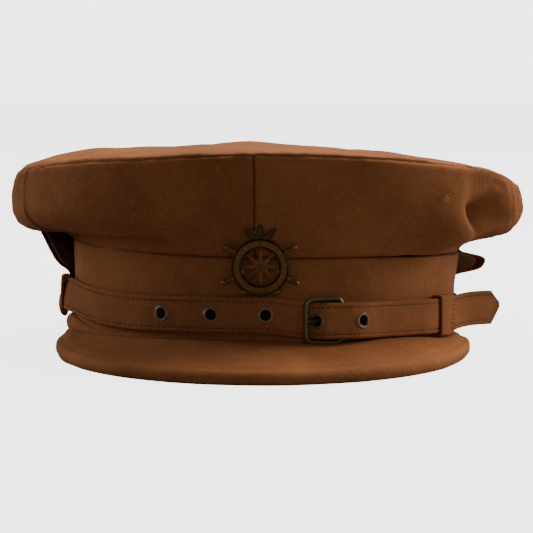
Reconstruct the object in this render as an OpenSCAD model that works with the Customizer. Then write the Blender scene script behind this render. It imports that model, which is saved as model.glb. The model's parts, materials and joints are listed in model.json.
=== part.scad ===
// Military peaked cap: a soft, wide cloth crown on an upright band, a stitched peak, a
// buckled cloth chin strap, a neck flap folded up round the back and a pierced badge.
// Every piece is drawn with the band upright, its rim at z = 0 and its front towards -Y.
// stand() then leans the whole cap back, so that it rests on the peak's edge and the rear
// rim. Azimuths run from 0 at the front towards +X, the wearer's left.

/* [Band] */
// Outer radius of the band
band_r = 96.5; // [94:0.5:99]
// Height of the band
band_h = 40; // [38:1:43]
// Thickness of the band's cloth
band_t = 1.2; // [0.8:0.1:1.3]
// Thickness of the leather sweatband
sweat_t = 1; // [0.8:0.1:1.2]

/* [Crown] */
// Width of the crown over its side rolls
crown_w = 264; // [252:1:272]
// Length of the crown over its rear roll
crown_l = 254; // [246:1:264]
// How far the crown's centre sits behind the band's
crown_back = 15; // [10:1:18]
// Height of the crown's top seam at the front
seam_front = 88; // [82:1:92]
// Height of the crown's top seam at the wearer's right
seam_right = 87; // [82:1:89]
// Height of the crown's top seam at the wearer's left, where the crown droops
seam_left = 71; // [68:1:84]
// Height of the middle of the crown's top
top_middle = 95; // [88:1:97]
// Height of the crown's top seam at the back
seam_rear = 80; // [78:1:84]
// Thickness of the crown's cloth with its interlining
crown_t = 1.5; // [1:0.1:2]

/* [Peak] */
// Width across the peak's corners
peak_w = 204; // [202:1:210]
// How far the peak reaches in front of the band
peak_l = 42; // [36:1:48]
// Drop from the band's rim to the peak's outer edge
peak_drop = 15; // [11:1:18]
// Radius of the peak's rolled edge
edge_r = 2.6; // [2.3:0.1:3]

/* [Chin strap] */
// Width of the cloth strap
strap_w = 17; // [16:0.5:17.5]
// Thickness of the cloth strap
strap_t = 1.6; // [1.4:0.1:1.6]
// Height of the strap's middle above the rim, from the buckle to the wearer's right
strap_z_front = 12.8; // [12:0.2:14]
// Height of the strap's middle at the buckle, and from there to the wearer's left
strap_z_buckle = 10; // [10:0.2:10.6]
// Height of the strap's middle at the end on the wearer's right
strap_z_end = 19; // [17:0.5:20]
// Height of the right side button
button_z = 13; // [12.5:0.5:18]
// Bore radius of the eyelets
eyelet_r = 2.5; // [2.4:0.05:2.6]
// Radius of the buckle's wire
wire_r = 1.3; // [1.2:0.05:1.3]
// Radius of the prong's wire
prong_r = 0.9; // [0.8:0.05:0.9]

/* [Badge] */
// Outer radius of the badge's ring
badge_r = 13.5; // [12:0.5:15]
// Thickness of the badge's sheet brass
badge_t = 1.2; // [1:0.1:1.4]

/* [Hidden] */
$fn = 64;

cloth = [0.40, 0.25, 0.15];
cloth_light = [0.50, 0.32, 0.20];
cloth_dark = [0.30, 0.18, 0.10];
brass = [0.34, 0.27, 0.12];
brass_dark = [0.25, 0.20, 0.10];
leather = [0.36, 0.20, 0.10];

gap = 0.25;              // clear space between neighbouring layers
over = 1;                // how far a cutting tool passes a face
columns = 18;            // facets along a quarter of the crown
rows = 10;               // facets from the band to the crown's seam
stiff_t = 0.8;           // buckram inside the band
stiff_r = band_r - band_t - 0.2;
sweat_r = 91.6;          // outer radius of the sweatband
pin_room_r = 93;         // radius at which the split pins lie, between buckram and leather

// --- helpers ---------------------------------------------------------------------------

function mix(p, q, k) = p + (q - p) * k;
function ramp(lo, hi, x) = let (k = max(0, min(1, (x - lo) / (hi - lo)))) k * k * (3 - 2 * k);
function steps(lo, hi, n) = [for (i = [0 : n]) lo + (hi - lo) * i / n];
function polar(a, r, z) = [r * sin(a), -r * cos(a), z];
function bezier(c, t) = len(c) == 1 ? c[0] :
    bezier([for (i = [0 : len(c) - 2]) mix(c[i], c[i + 1], t)], t);
function unit(v) = v / norm(v);
function reversed(v) = [for (i = [len(v) - 1 : -1 : 0]) v[i]];

// Direction of a plane curve at point i, and the curve moved sideways by d, to its left
function heading(c, i) = unit(c[min(i + 1, len(c) - 1)] - c[max(i - 1, 0)]);
function shifted(c, d) = [for (i = [0 : len(c) - 1])
    let (h = heading(c, i)) c[i] + d * [-h[1], h[0]]];

// A closed skin over rings of points, all of one length, with flat ends
module skin(rings) {
    n = len(rings[0]);
    m = len(rings);
    sides = [for (i = [0 : m - 2], j = [0 : n - 1])
        let (k = (j + 1) % n, p = i * n, q = p + n)
        each [[p + j, p + k, q + k], [p + j, q + k, q + j]]];
    ends = [[for (j = [n - 1 : -1 : 0]) j], [for (j = [0 : n - 1]) (m - 1) * n + j]];
    polyhedron([for (r = rings) each r], concat(sides, ends), convexity = 10);
}

// Moves a shape drawn along +Z so that it points outwards at azimuth a
module outward(a, r, z) {
    translate(polar(a, r, z)) rotate([0, 0, a]) rotate([90, 0, 0]) children();
}

// A ring wall between two radii and two heights
module wall(r_in, r_out, z_low, z_high) {
    translate([0, 0, z_low]) difference() {
        cylinder(r = r_out, h = z_high - z_low, $fn = 180);
        translate([0, 0, -over]) cylinder(r = r_in, h = z_high - z_low + 2 * over, $fn = 180);
    }
}

// --- standing pose ---------------------------------------------------------------------

peak_in_z = -3;          // middle of the peak's thickness where it meets the band
peak_slope = atan((peak_drop + peak_in_z) / peak_l);
edge_reach = band_r + peak_l - edge_r * cos(peak_slope);
edge_drop = peak_drop - edge_r * sin(peak_slope);
lean = atan(edge_drop / (edge_reach + band_r))
    + asin(edge_r / norm([edge_reach + band_r, edge_drop]));
lift = band_r * sin(lean);
crown_x = 2;             // the crown sags a little towards +X
rear_reach = crown_l / 2 + crown_back;
roll_z = 63;             // height at which the rear roll reaches furthest
y_front = -(edge_reach * cos(lean) + edge_drop * sin(lean) + edge_r);
y_rear = rear_reach * cos(lean) + roll_z * sin(lean);

module stand() {
    translate([-crown_x, -(y_front + y_rear) / 2, lift]) rotate([-lean, 0, 0]) children();
}

// --- crown -----------------------------------------------------------------------------

function band_point(a) = [band_r * sin(a), -band_r * cos(a)];
function crown_point(a) =
    [crown_x + crown_w / 2 * sin(a), crown_back - crown_l / 2 * cos(a)];

// Control points of the crown's side, as share of the overhang and height. The crown has
// slumped towards the wearer's left, so its seam hangs lower on that side.
side_front = [[0, band_h + gap], [0.2, band_h + 12], [0.45, band_h + 24],
    [0.8, seam_front - 10], [1, seam_front]];
side_right = [[0, band_h + gap], [0.62, band_h + 8], [1.32, band_h + 14],
    [1.12, seam_right - 1], [0.5, seam_right]];
side_left = [[0, band_h + gap], [0.55, band_h + 3], [1.12, band_h + 6],
    [1.08, seam_left - 8], [0.93, seam_left]];
side_rear = [[0, band_h + gap], [0.5, band_h + 3], [1.3, band_h + 10],
    [1.12, seam_rear - 2], [0.5, seam_rear]];

// The crown's side at azimuth a: distance from the band's edge, and height
function side_curve(a) = let (
        b = mix(mix(side_front, a < 0 ? side_right : side_left, ramp(20, 75, abs(a))),
            side_rear, ramp(105, 165, abs(a))),
        reach = norm(crown_point(a) - band_point(a)))
    [for (t = steps(0, 1, rows)) let (p = bezier(b, t)) [p[0] * reach, p[1]]];

function on_side(a, p) = let (
        b = band_point(a),
        q = b + p[0] * unit(crown_point(a) - b))
    [q[0], q[1], p[1]];

module quarter(from, to, shade) {
    color(shade) stand() skin([for (a = steps(from, to, columns))
        let (outer = side_curve(a), inner = shifted(outer, crown_t),
            ring = concat(outer, reversed(inner)))
        [for (p = from < to ? ring : reversed(ring)) on_side(a, p)]]);
}

seam_gap = 0.15;         // half the angle between two quarters
side_seam = 70;          // azimuth of the seams between front and rear quarters
module quarter_front_right() { quarter(-seam_gap, seam_gap - side_seam, cloth_dark); }
module quarter_front_left() { quarter(seam_gap, side_seam - seam_gap, cloth); }
module quarter_rear_left() { quarter(side_seam + seam_gap, 180 - seam_gap, cloth_dark); }
module quarter_rear_right() { quarter(seam_gap - 180, -side_seam - seam_gap, cloth); }

// Top panel: it leaves the seam in the sides' own direction, then turns in over a low dome
top_rise = 2.2;
top_turn = 4;
top_levels = [0.9, 0.75, 0.5, 0.25, 0.03];

function top_edge(a) = let (c = side_curve(a), h = heading(c, rows)) c[rows] + gap * h;
function top_inner_edge(a) = let (h = heading(side_curve(a), rows))
    top_edge(a) + crown_t * [-h[1], h[0]];
function top_start(a) = on_side(a, top_edge(a) + [-top_turn, top_rise]);
function top_point(a, k) = let (p = top_start(a), c = [crown_x, crown_back, top_middle])
    [mix(c[0], p[0], k), mix(c[1], p[1], k), mix(c[2], p[2], pow(k, 4))];

module crown_top() {
    around = [for (i = [0 : 4 * columns - 1]) 90 * i / columns - 180];
    down = [0, 0, -crown_t];
    color(cloth_light) stand() skin([
        for (k = reversed(top_levels)) [for (a = around) top_point(a, k)],
        [for (a = around) top_start(a)],
        [for (a = around) on_side(a, top_edge(a))],
        [for (a = around) on_side(a, top_inner_edge(a))],
        [for (a = around) top_start(a) + down],
        for (k = top_levels) [for (a = around) top_point(a, k) + down]]);
}

lining_z = 73;           // underside of the lining's top
lining_t = 0.6;
lining_spread = 7;       // how much wider the lining is at its top than at the band

module lining_top() {
    color(leather) stand() translate([0, 0, lining_z])
        cylinder(r = sweat_r + lining_spread, h = lining_t, $fn = 180);
}

module lining_side() {
    low = band_h + 1;
    r = sweat_r;
    s = sweat_r + lining_spread;
    color(leather) stand() rotate_extrude($fn = 180)
        polygon([[r, low], [r + lining_t, low], [s, lining_z - gap], [s - lining_t, lining_z - gap]]);
}

// --- band ------------------------------------------------------------------------------

button_a = 95;           // azimuth of the side buttons
shank_r = 1.5;
lug_x = 9;
lug_r = 1;
lug_z = 33;

// Holes through the band for the button shanks and the badge's lugs
module band_holes() {
    play = 0.15;
    outward(-button_a, band_r - 8, button_z) cylinder(r = shank_r + play, h = 16);
    outward(button_a, band_r - 8, strap_z_buckle) cylinder(r = shank_r + play, h = 16);
    for (s = [-1, 1])
        translate([s * lug_x, -band_r + 8, lug_z]) rotate([90, 0, 0])
            cylinder(r = lug_r + play, h = 16);
}

module band_cloth() {
    color(cloth) stand() difference() {
        wall(band_r - band_t, band_r, 0, band_h);
        band_holes();
    }
}

module band_stiffener() {
    color("tan") stand() difference() {
        wall(stiff_r - stiff_t, stiff_r, 1, band_h - 1);
        band_holes();
    }
}

module sweatband() {
    color(leather) stand() wall(sweat_r - sweat_t, sweat_r, 0, band_h - 4);
}

// The reed that joins the sweatband's lower edge to the band's
module sweatband_reed() {
    color(leather) stand() wall(sweat_r + gap, stiff_r - stiff_t - gap, 0.2, 2.2);
}

// --- peak ------------------------------------------------------------------------------

peak_end = 78;           // azimuth at which the peak's inner edge ends
peak_rise = 9;           // the peak's edge rises from its middle to its corners
peak_columns = 44;
board_in = 0.8;          // the board starts this far from the seam
edge_solid = 4.6;        // width of the rolled edge

// Inner edge on the band, and the middle of the outer edge, for f from -90 to 90
function peak_inner(f) = polar(f * peak_end / 90, band_r + 0.3, peak_in_z);
function peak_outer(f) = [peak_w / 2 * sin(f),
    -22 - (band_r + peak_l - 22) * pow(cos(f), 0.9),
    -peak_drop + peak_rise * (1 - cos(f))];

// Places [distance from the seam, height over the peak's middle surface] at f
function on_peak(f, p) = let (
        i = peak_inner(f),
        e = unit(peak_outer(f) - i),
        flat = norm([e[0], e[1]]))
    i + e * p[0] + [-e[0] * e[2], -e[1] * e[2], flat * flat] / flat * p[1];
function peak_width(f) = norm(peak_outer(f) - peak_inner(f));

module peak_layer(near, far, low, high) {
    skin([for (f = steps(-90, 90, peak_columns)) let (w = peak_width(f) - far)
        [for (p = concat([for (d = steps(near, w, 4)) [d, high]],
            [for (d = steps(w, near, 4)) [d, low]])) on_peak(f, p)]]);
}

module peak_top() {
    skin_low = 1.1;
    skin_high = 2.2;
    color(cloth) stand() skin([for (f = steps(-90, 90, peak_columns)) let (w = peak_width(f))
        [for (p = concat(
            [for (d = steps(0, w - edge_solid, 4)) [d, skin_high]],
            [for (t = steps(90, -90, 6)) [w - edge_r + edge_r * cos(t), edge_r * sin(t)]],
            [[w - edge_solid, -skin_high]],
            [for (d = steps(w - edge_solid, 0, 4)) [d, skin_low]])) on_peak(f, p)]]);
}

module peak_board() {
    color("tan") stand() peak_layer(board_in, edge_solid + gap, -0.8, 0.85);
}

module peak_under() {
    color(cloth_dark) stand() peak_layer(board_in, edge_solid + gap, -2.1, -1.05);
}

// Rounded welt over the seam between band and peak; it stops short of the keeper
module peak_welt() {
    welt_r = 0.8;
    welt_end = 53;
    color(cloth) stand() translate([0, 0, 0.5]) rotate([0, 0, -90 - peak_end])
        rotate_extrude(angle = peak_end + welt_end, $fn = 180)
            translate([band_r + welt_r + 0.2, 0]) circle(r = welt_r, $fn = 24);
}

// --- neck flap -------------------------------------------------------------------------

flap_end = 104;          // azimuth at which the folded flap starts on each side
flap_low = 5;
flap_high = 39;
flap_t = 0.9;

// A curved panel round the back, leaning out at its top, starting r_in from the axis
module flap_panel(r_in, low, high) {
    function lean_out(a) = 7.5 - 2 * ramp(150, 180, a);
    skin([for (a = steps(flap_end, 360 - flap_end, 40)) let (d = lean_out(180 - abs(a - 180)))
        [polar(a, r_in, low), polar(a, r_in + flap_t, low),
            polar(a, r_in + flap_t + d, high), polar(a, r_in + d, high)]]);
}

module neck_flap() {
    color(cloth) stand() flap_panel(band_r + 0.8 + flap_t + gap, flap_low, flap_high);
}

module neck_flap_lining() {
    color(cloth_dark) stand() flap_panel(band_r + 0.8, flap_low, flap_high);
}

// --- buckle layout ---------------------------------------------------------------------

buckle_a = 17.3;         // azimuth of the buckle's middle
bar_half = 8.5;          // half the distance between the buckle's two upright bars
bar_w = 99.8;            // distance of the bars from the band's axis
rail_half = 10.1;        // half the distance between the buckle's rails
loop_r = wire_r + 0.1 + prong_r;          // middle of the prong's loop round its bar

// Buckle frame of reference: x along the strap, y outwards, z up, about the band's axis
module at_buckle() {
    translate([0, 0, strap_z_buckle]) rotate([0, 0, buckle_a]) mirror([0, 1, 0]) children();
}

// --- straps ----------------------------------------------------------------------------

strap_r0 = band_r + 0.5 + strap_t / 2;    // middle of a strap that lies on the band
keeper_a = 62.5;
keeper_half_a = 4.3;

// Room under both straps where the sliding keeper goes round them
function keeper_room(a) = ramp(46, 54, a) - ramp(72, 80, a);
// Middle of the long strap: it lies on the band, rises through the buckle from under its
// far bar to over its hinge bar, and comes down onto the short strap
function strap_r(a) = strap_r0 + 3.1 * (1 - ramp(-84, -70, a)) + 6.6 * ramp(12.8, 17.6, a)
    - 4.8 * ramp(24, 38, a) + 1.3 * keeper_room(a);
function strap_z(a) = strap_z_front + (strap_z_buckle - strap_z_front) * ramp(0, 15, a)
    + (strap_z_end - strap_z_front) * (1 - ramp(-85, -35, a));
function strap_slope(a) = let (d = 0.2)
    atan((strap_r(a + d) - strap_r(a - d)) / (2 * d * PI / 180 * strap_r(a)));

strap_from = -99.5;
tip_a = 71;              // the free end leaves the band here
tip_turn = 36;           // and bends outwards by this angle
tip_bend = 32;           // on this radius
tip_straight = 14;
tip_point = 5;

// Ring of strap corners about a plan point, with the outward direction at azimuth a
function strap_ring(p, a, low, high) = let (o = strap_t / 2 * [sin(a), -cos(a)])
    [[p[0] - o[0], p[1] - o[1], low], [p[0] + o[0], p[1] + o[1], low],
        [p[0] + o[0], p[1] + o[1], high], [p[0] - o[0], p[1] - o[1], high]];
function plan(a, r) = [r * sin(a), -r * cos(a)];
tip_base = plan(tip_a, strap_r(tip_a));
tip_centre = tip_base + tip_bend * [sin(tip_a), -cos(tip_a)];
function tip_arc(t) = tip_centre - tip_bend * [sin(tip_a - t), -cos(tip_a - t)];
tip_along = [cos(tip_a - tip_turn), sin(tip_a - tip_turn)];

module strap_long() {
    h = strap_w / 2;
    fine = concat(steps(strap_from, -66, 12), steps(-60, 0, 12), steps(3, 11.8, 3),
        steps(12.4, 18.4, 12), steps(20, 38, 9), steps(42, tip_a - 1, 8));
    end_a = tip_a - tip_turn;
    end_low = strap_z_buckle - h;
    end_high = strap_z_buckle + h;
    corner = tip_arc(tip_turn) + tip_straight * tip_along;
    color(cloth) stand() difference() {
        skin(concat(
            [for (a = fine) strap_ring(plan(a, strap_r(a)), a - strap_slope(a),
                strap_z(a) - h, strap_z(a) + h)],
            [for (t = steps(0, tip_turn, 6))
                strap_ring(tip_arc(t), tip_a - t, end_low, end_high)],
            [strap_ring(corner, end_a, end_low, end_high),
                strap_ring(corner + tip_point * tip_along, end_a,
                    strap_z_buckle + 0.5, strap_z_buckle + 3)]));
        for (a = eyelet_azimuths) at_eyelet(a)
            translate([0, 0, -5]) cylinder(r = eyelet_r + 0.4, h = 10);
        outward(-button_a, strap_r(-button_a) - 5, button_z)
            cylinder(r = shank_r + 0.3, h = 10);
    }
}

// Middle of the short strap, which lies under the long one
function short_r(a) = strap_r0 + 1.2 * keeper_room(a);

module strap_short() {
    from = buckle_a + 5.2;
    to = button_a + 5;
    turn_r = wire_r + 0.15;
    angles = steps(from, to, 60);
    slot = 2 * prong_r + 0.8;
    fold_t = 1.3;
    color(cloth) stand() difference() {
        union() {
            translate([0, 0, strap_z_buckle - strap_w / 2]) linear_extrude(height = strap_w)
                polygon(concat([for (a = angles) plan(a, short_r(a) - strap_t / 2)],
                    [for (a = reversed(angles)) plan(a, short_r(a) + strap_t / 2)]));
            at_buckle() translate([bar_half, bar_w, -strap_w / 2])
                cylinder(r = turn_r + fold_t, h = strap_w);
        }
        at_buckle() translate([bar_half, bar_w, -strap_w / 2 - over])
            cylinder(r = turn_r, h = strap_w + 2 * over);
        at_buckle() translate([bar_half - 6, bar_w - 6, -slot / 2]) cube([9.8, 12, slot]);
        outward(button_a, band_r - 4, strap_z_buckle) cylinder(r = shank_r + 0.3, h = 10);
    }
}

// Cloth loop that slides along both straps
module strap_keeper() {
    t = 1.1;
    r_in = band_r + 0.3;
    r_out = strap_r(keeper_a) + strap_t / 2 + gap + t;
    h = strap_w / 2 + 0.4 + t;
    color(cloth_light) stand() translate([0, 0, strap_z_buckle])
        rotate([0, 0, keeper_a - 90 - keeper_half_a])
            rotate_extrude(angle = 2 * keeper_half_a, $fn = 180) difference() {
                translate([r_in, -h]) square([r_out - r_in, 2 * h]);
                translate([r_in + t, -h + t]) square([r_out - r_in - 2 * t, 2 * (h - t)]);
            }
}

// Narrow loop sewn round the strap in front of the right side button
module side_keeper() {
    a = -87.5;
    t = 1;
    w = 5;
    room = strap_t + 2 * gap;
    h = strap_w / 2 + 0.5;
    color(cloth) stand() outward(a, strap_r(a), strap_z(a)) difference() {
        translate([-w / 2, -h - t, -room / 2 - t]) cube([w, 2 * (h + t), room + 2 * t]);
        translate([-w / 2 - over, -h, -room / 2]) cube([w + 2 * over, 2 * h, room]);
    }
}

// --- eyelets ---------------------------------------------------------------------------

eyelet_azimuths = [-28.6, -13.7, 1.4, 15.4, 27.5];

// Along the outward normal of the strap at azimuth a, from the strap's middle
module at_eyelet(a) {
    translate(polar(a, strap_r(a), strap_z(a)))
        rotate([0, 0, a - strap_slope(a)]) rotate([90, 0, 0]) children();
}

module eyelet(i) {
    tube = eyelet_r + 0.4;
    rim = eyelet_r + 1.35;
    s = strap_t / 2;
    color(brass_dark) stand() at_eyelet(eyelet_azimuths[i]) rotate_extrude(angle = 360)
        polygon([[eyelet_r, -s - 0.2], [rim - 0.3, -s - 0.2], [rim - 0.3, -s], [tube, -s],
            [tube, s], [rim, s], [rim, s + 0.15], [rim - 0.4, s + 0.5],
            [eyelet_r + 0.35, s + 0.5], [eyelet_r, s + 0.2]]);
}

module eyelet_1() { eyelet(0); }
module eyelet_2() { eyelet(1); }
module eyelet_3() { eyelet(2); }
module eyelet_4() { eyelet(3); }
module eyelet_5() { eyelet(4); }

// --- buckle ----------------------------------------------------------------------------

hinge_corner_r = 1.9;    // bend of the frame's corners at the hinge bar, to the wire's middle
free_corner_r = 3.4;     // the same at the far bar

module buckle_frame() {
    color(brass) stand() at_buckle() translate([0, bar_w, 0]) {
        for (side = [[1, hinge_corner_r], [-1, free_corner_r]]) {
            bend = side[1];
            translate([side[0] * bar_half, 0, -(rail_half - bend)])
                cylinder(r = wire_r, h = 2 * (rail_half - bend));
            for (flip = [0, 1]) mirror([0, 0, flip]) mirror([side[0] < 0 ? 1 : 0, 0, 0])
                translate([bar_half - bend, 0, rail_half - bend]) rotate([90, 0, 0])
                    rotate_extrude(angle = 90) translate([bend, 0]) circle(r = wire_r);
        }
        for (s = [-1, 1])
            translate([free_corner_r - bar_half, 0, s * rail_half]) rotate([0, 90, 0])
                cylinder(r = wire_r, h = 2 * bar_half - hinge_corner_r - free_corner_r);
    }
}

// Prong: a wire looped round the hinge bar; it leaves the loop on the band's side, passes
// up through the fourth eyelet and rests on the far bar
rest_gap = 0.2;
prong_fall = asin((loop_r + wire_r + prong_r + rest_gap) / (2 * bar_half));
prong_l = 2 * bar_half * cos(prong_fall) + 1.6;

module buckle_prong() {
    color(brass) stand() at_buckle() translate([bar_half, bar_w, 0]) {
        rotate_extrude(angle = 360) translate([loop_r, 0]) circle(r = prong_r, $fn = 32);
        rotate([0, 0, -prong_fall]) translate([0, -loop_r, 0]) rotate([0, -90, 0])
            cylinder(r = prong_r, h = prong_l, $fn = 32);
        rotate([0, 0, -prong_fall]) translate([-prong_l, -loop_r, 0])
            sphere(r = prong_r, $fn = 32);
    }
}

// --- side buttons ----------------------------------------------------------------------

button_r = 7;
pin_r = 0.5;

// Domed button with its shank; head is the radius at which the head's back lies
module side_button(a, head, z) {
    length = head - pin_room_r + 1;
    color(brass_dark) stand() outward(a, head, z) difference() {
        union() {
            rotate_extrude(angle = 360) polygon([[0, 0], [button_r - 0.6, 0],
                [button_r, 0.5], [button_r, 1],
                for (t = steps(10, 80, 7)) [button_r * cos(t), 1 + 3 * sin(t)],
                [0, 4]]);
            translate([0, 0, -length]) cylinder(r = shank_r, h = length + 1);
        }
        translate([0, -over * 3, -length + 1]) rotate([-90, 0, 0])
            cylinder(r = pin_r + 0.1, h = 6 * over, $fn = 24);
    }
}

// Split pin through the shank's eye inside the band
module button_pin(a, z) {
    color(brass) stand() translate(polar(a, pin_room_r, z - 6))
        cylinder(r = pin_r, h = 12, $fn = 24);
}

head_right = strap_r(-button_a) + strap_t / 2 + gap;
head_left = short_r(button_a) + strap_t / 2 + gap;
module side_button_right() { side_button(-button_a, head_right, button_z); }
module side_button_left() { side_button(button_a, head_left, strap_z_buckle); }
module button_pin_right() { button_pin(-button_a, button_z); }
module button_pin_left() { button_pin(button_a, strap_z_buckle); }

// --- badge -----------------------------------------------------------------------------

badge_z = 35.3;           // height of the ring's middle
badge_back = band_r + 2.6; // distance of the ring's middle from the band's axis
badge_lean = 8.5;         // the badge leans forward with the crown's front
badge_ring_w = 4.6;

module leaf(l, w) {
    r = (l * l + w * w) / (4 * w);
    intersection() {
        translate([r - w / 2, l / 2]) circle(r = r);
        translate([w / 2 - r, l / 2]) circle(r = r);
    }
}

// Generic device: a plain ring round an eight-pointed star, with short rays, a sprig of
// three leaves above and a straight foot below
module badge_frame_outline() {
    foot = [20, 2.9];
    circle(r = badge_r);
    for (t = [-59, 59, -113, 113]) rotate(t) translate([-0.9, badge_r - 1]) square([1.8, 7]);
    for (t = [-48, 0, 48]) translate([0, badge_r - 2]) rotate(t) leaf(10, 5);
    translate([-foot[0] / 2, 0.2 - badge_r]) square(foot);
}

module badge_star_outline() {
    star_out = badge_r - badge_ring_w + 1.4;
    star_in = 3.6;
    polygon([for (i = [0 : 15]) let (r = i % 2 == 0 ? star_out : star_in)
        [r * sin(i * 22.5), r * cos(i * 22.5)]]);
}

module badge_plate() {
    color(brass_dark) stand() translate([0, -badge_back, badge_z])
        rotate([90 + badge_lean, 0, 0]) {
            difference() {
                linear_extrude(height = badge_t) badge_frame_outline();
                translate([0, 0, -over])
                    cylinder(r = badge_r - badge_ring_w, h = badge_t + 2 * over);
            }
            linear_extrude(height = badge_t - 0.3) badge_star_outline();
        }
}

// Two wire lugs soldered behind the ring, each with an eye for the pin
module badge_lugs() {
    front = badge_back - 0.6;
    color(brass) stand() for (s = [-1, 1]) difference() {
        translate([s * lug_x, -front, lug_z]) rotate([-90, 0, 0])
            cylinder(r = lug_r, h = front - pin_room_r + 1.2, $fn = 24);
        translate([s * lug_x - 3, -pin_room_r, lug_z]) rotate([0, 90, 0])
            cylinder(r = pin_r, h = 6, $fn = 24);
    }
}

module badge_pin() {
    color(brass) stand() translate([-12, -pin_room_r, lug_z]) rotate([0, 90, 0])
        cylinder(r = pin_r - 0.1, h = 24, $fn = 24);
}

// --- one line for each node ------------------------------------------------------------

crown_top();
quarter_front_right();
quarter_front_left();
quarter_rear_right();
quarter_rear_left();
lining_top();
lining_side();
band_cloth();
band_stiffener();
sweatband();
sweatband_reed();
peak_top();
peak_board();
peak_under();
peak_welt();
neck_flap();
neck_flap_lining();
strap_long();
strap_short();
strap_keeper();
side_keeper();
eyelet_1();
eyelet_2();
eyelet_3();
eyelet_4();
eyelet_5();
buckle_frame();
buckle_prong();
side_button_left();
side_button_right();
button_pin_left();
button_pin_right();
badge_plate();
badge_lugs();
badge_pin();
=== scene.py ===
"""Looks of the military peaked cap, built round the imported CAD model.

All cloth is drawn here, in the frame that the CAD uses too: millimetres, band upright,
rim at z = 0, front towards -Y, azimuth a from the front towards +X (the wearer's left).
place() leans that frame back as the record's mounts say, and turns it into metres.
"""
import math

import bpy
import numpy as np
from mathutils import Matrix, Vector, noise
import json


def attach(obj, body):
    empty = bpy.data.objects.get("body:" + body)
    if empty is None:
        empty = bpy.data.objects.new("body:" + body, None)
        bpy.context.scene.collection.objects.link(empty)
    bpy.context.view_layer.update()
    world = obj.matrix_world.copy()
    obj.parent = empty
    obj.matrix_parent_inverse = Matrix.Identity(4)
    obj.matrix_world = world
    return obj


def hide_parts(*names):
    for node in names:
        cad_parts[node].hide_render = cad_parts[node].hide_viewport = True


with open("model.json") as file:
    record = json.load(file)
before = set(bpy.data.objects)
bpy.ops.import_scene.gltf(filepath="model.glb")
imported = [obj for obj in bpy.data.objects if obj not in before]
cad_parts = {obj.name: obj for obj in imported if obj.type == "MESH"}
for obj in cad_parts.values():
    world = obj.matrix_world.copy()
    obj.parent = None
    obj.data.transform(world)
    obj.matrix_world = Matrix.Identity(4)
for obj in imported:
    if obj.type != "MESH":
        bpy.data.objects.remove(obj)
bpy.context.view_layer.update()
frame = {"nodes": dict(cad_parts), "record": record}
NODES = frame["nodes"]

# --- sizes, in millimetres and degrees ---

BAND_R = 96.5                 # outside of the band's cloth
BAND_T = 1.2
SWEAT_R = 91.6
SWEAT_H = 36.0
SWEAT_T = 0.9
CROWN_CENTRE = (2.0, 15.0)
CROWN_HALF = (132.0, 127.0)
CROWN_T = 1.3
STRAP_W = 17.0
STRAP_T = 1.6
HEM_IN = 2.15                 # from a strap's edges to its seams
STRAP_R0 = BAND_R + 0.5 + STRAP_T / 2
STRAP_FRONT_Z = 12.8
BUCKLE_Z = 10.0
BUCKLE_A = 17.3
BAR_HALF = 8.5
BAR_W = 99.8
WIRE_R = 1.3
STRAP_FROM = -99.5
TIP_A = 71.0
TIP_TURN = 36.0
TIP_BEND = 32.0
TIP_STRAIGHT = 9.0
TIP_POINT = 5.0
KEEPER_A = 62.5
KEEPER_HALF_A = 4.3
KEEPER_T = 1.1
SIDE_KEEPER_A = -87.5
SIDE_KEEPER_SHIFT = 5.0       # how far forward of its CAD place it is drawn
BUTTON_A = 95.0
EYELETS = (-28.6, -13.7, 1.4, 15.4, 27.5)
EYELET_HOLE = 2.92
PEAK_END = 78.0
PEAK_W = 204.0
PEAK_L = 42.0
PEAK_DROP = 15.0
PEAK_RISE = 9.0
PEAK_IN_Z = -3.0
WELT_FROM, WELT_TO = -94.0, 54.0
EDGE_R = 2.6
BADGE_Z = 35.3
BADGE_BACK = BAND_R + 2.6
BADGE_LEAN = 8.5
BADGE_R = 13.5
BADGE_BORE = 8.9

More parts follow.
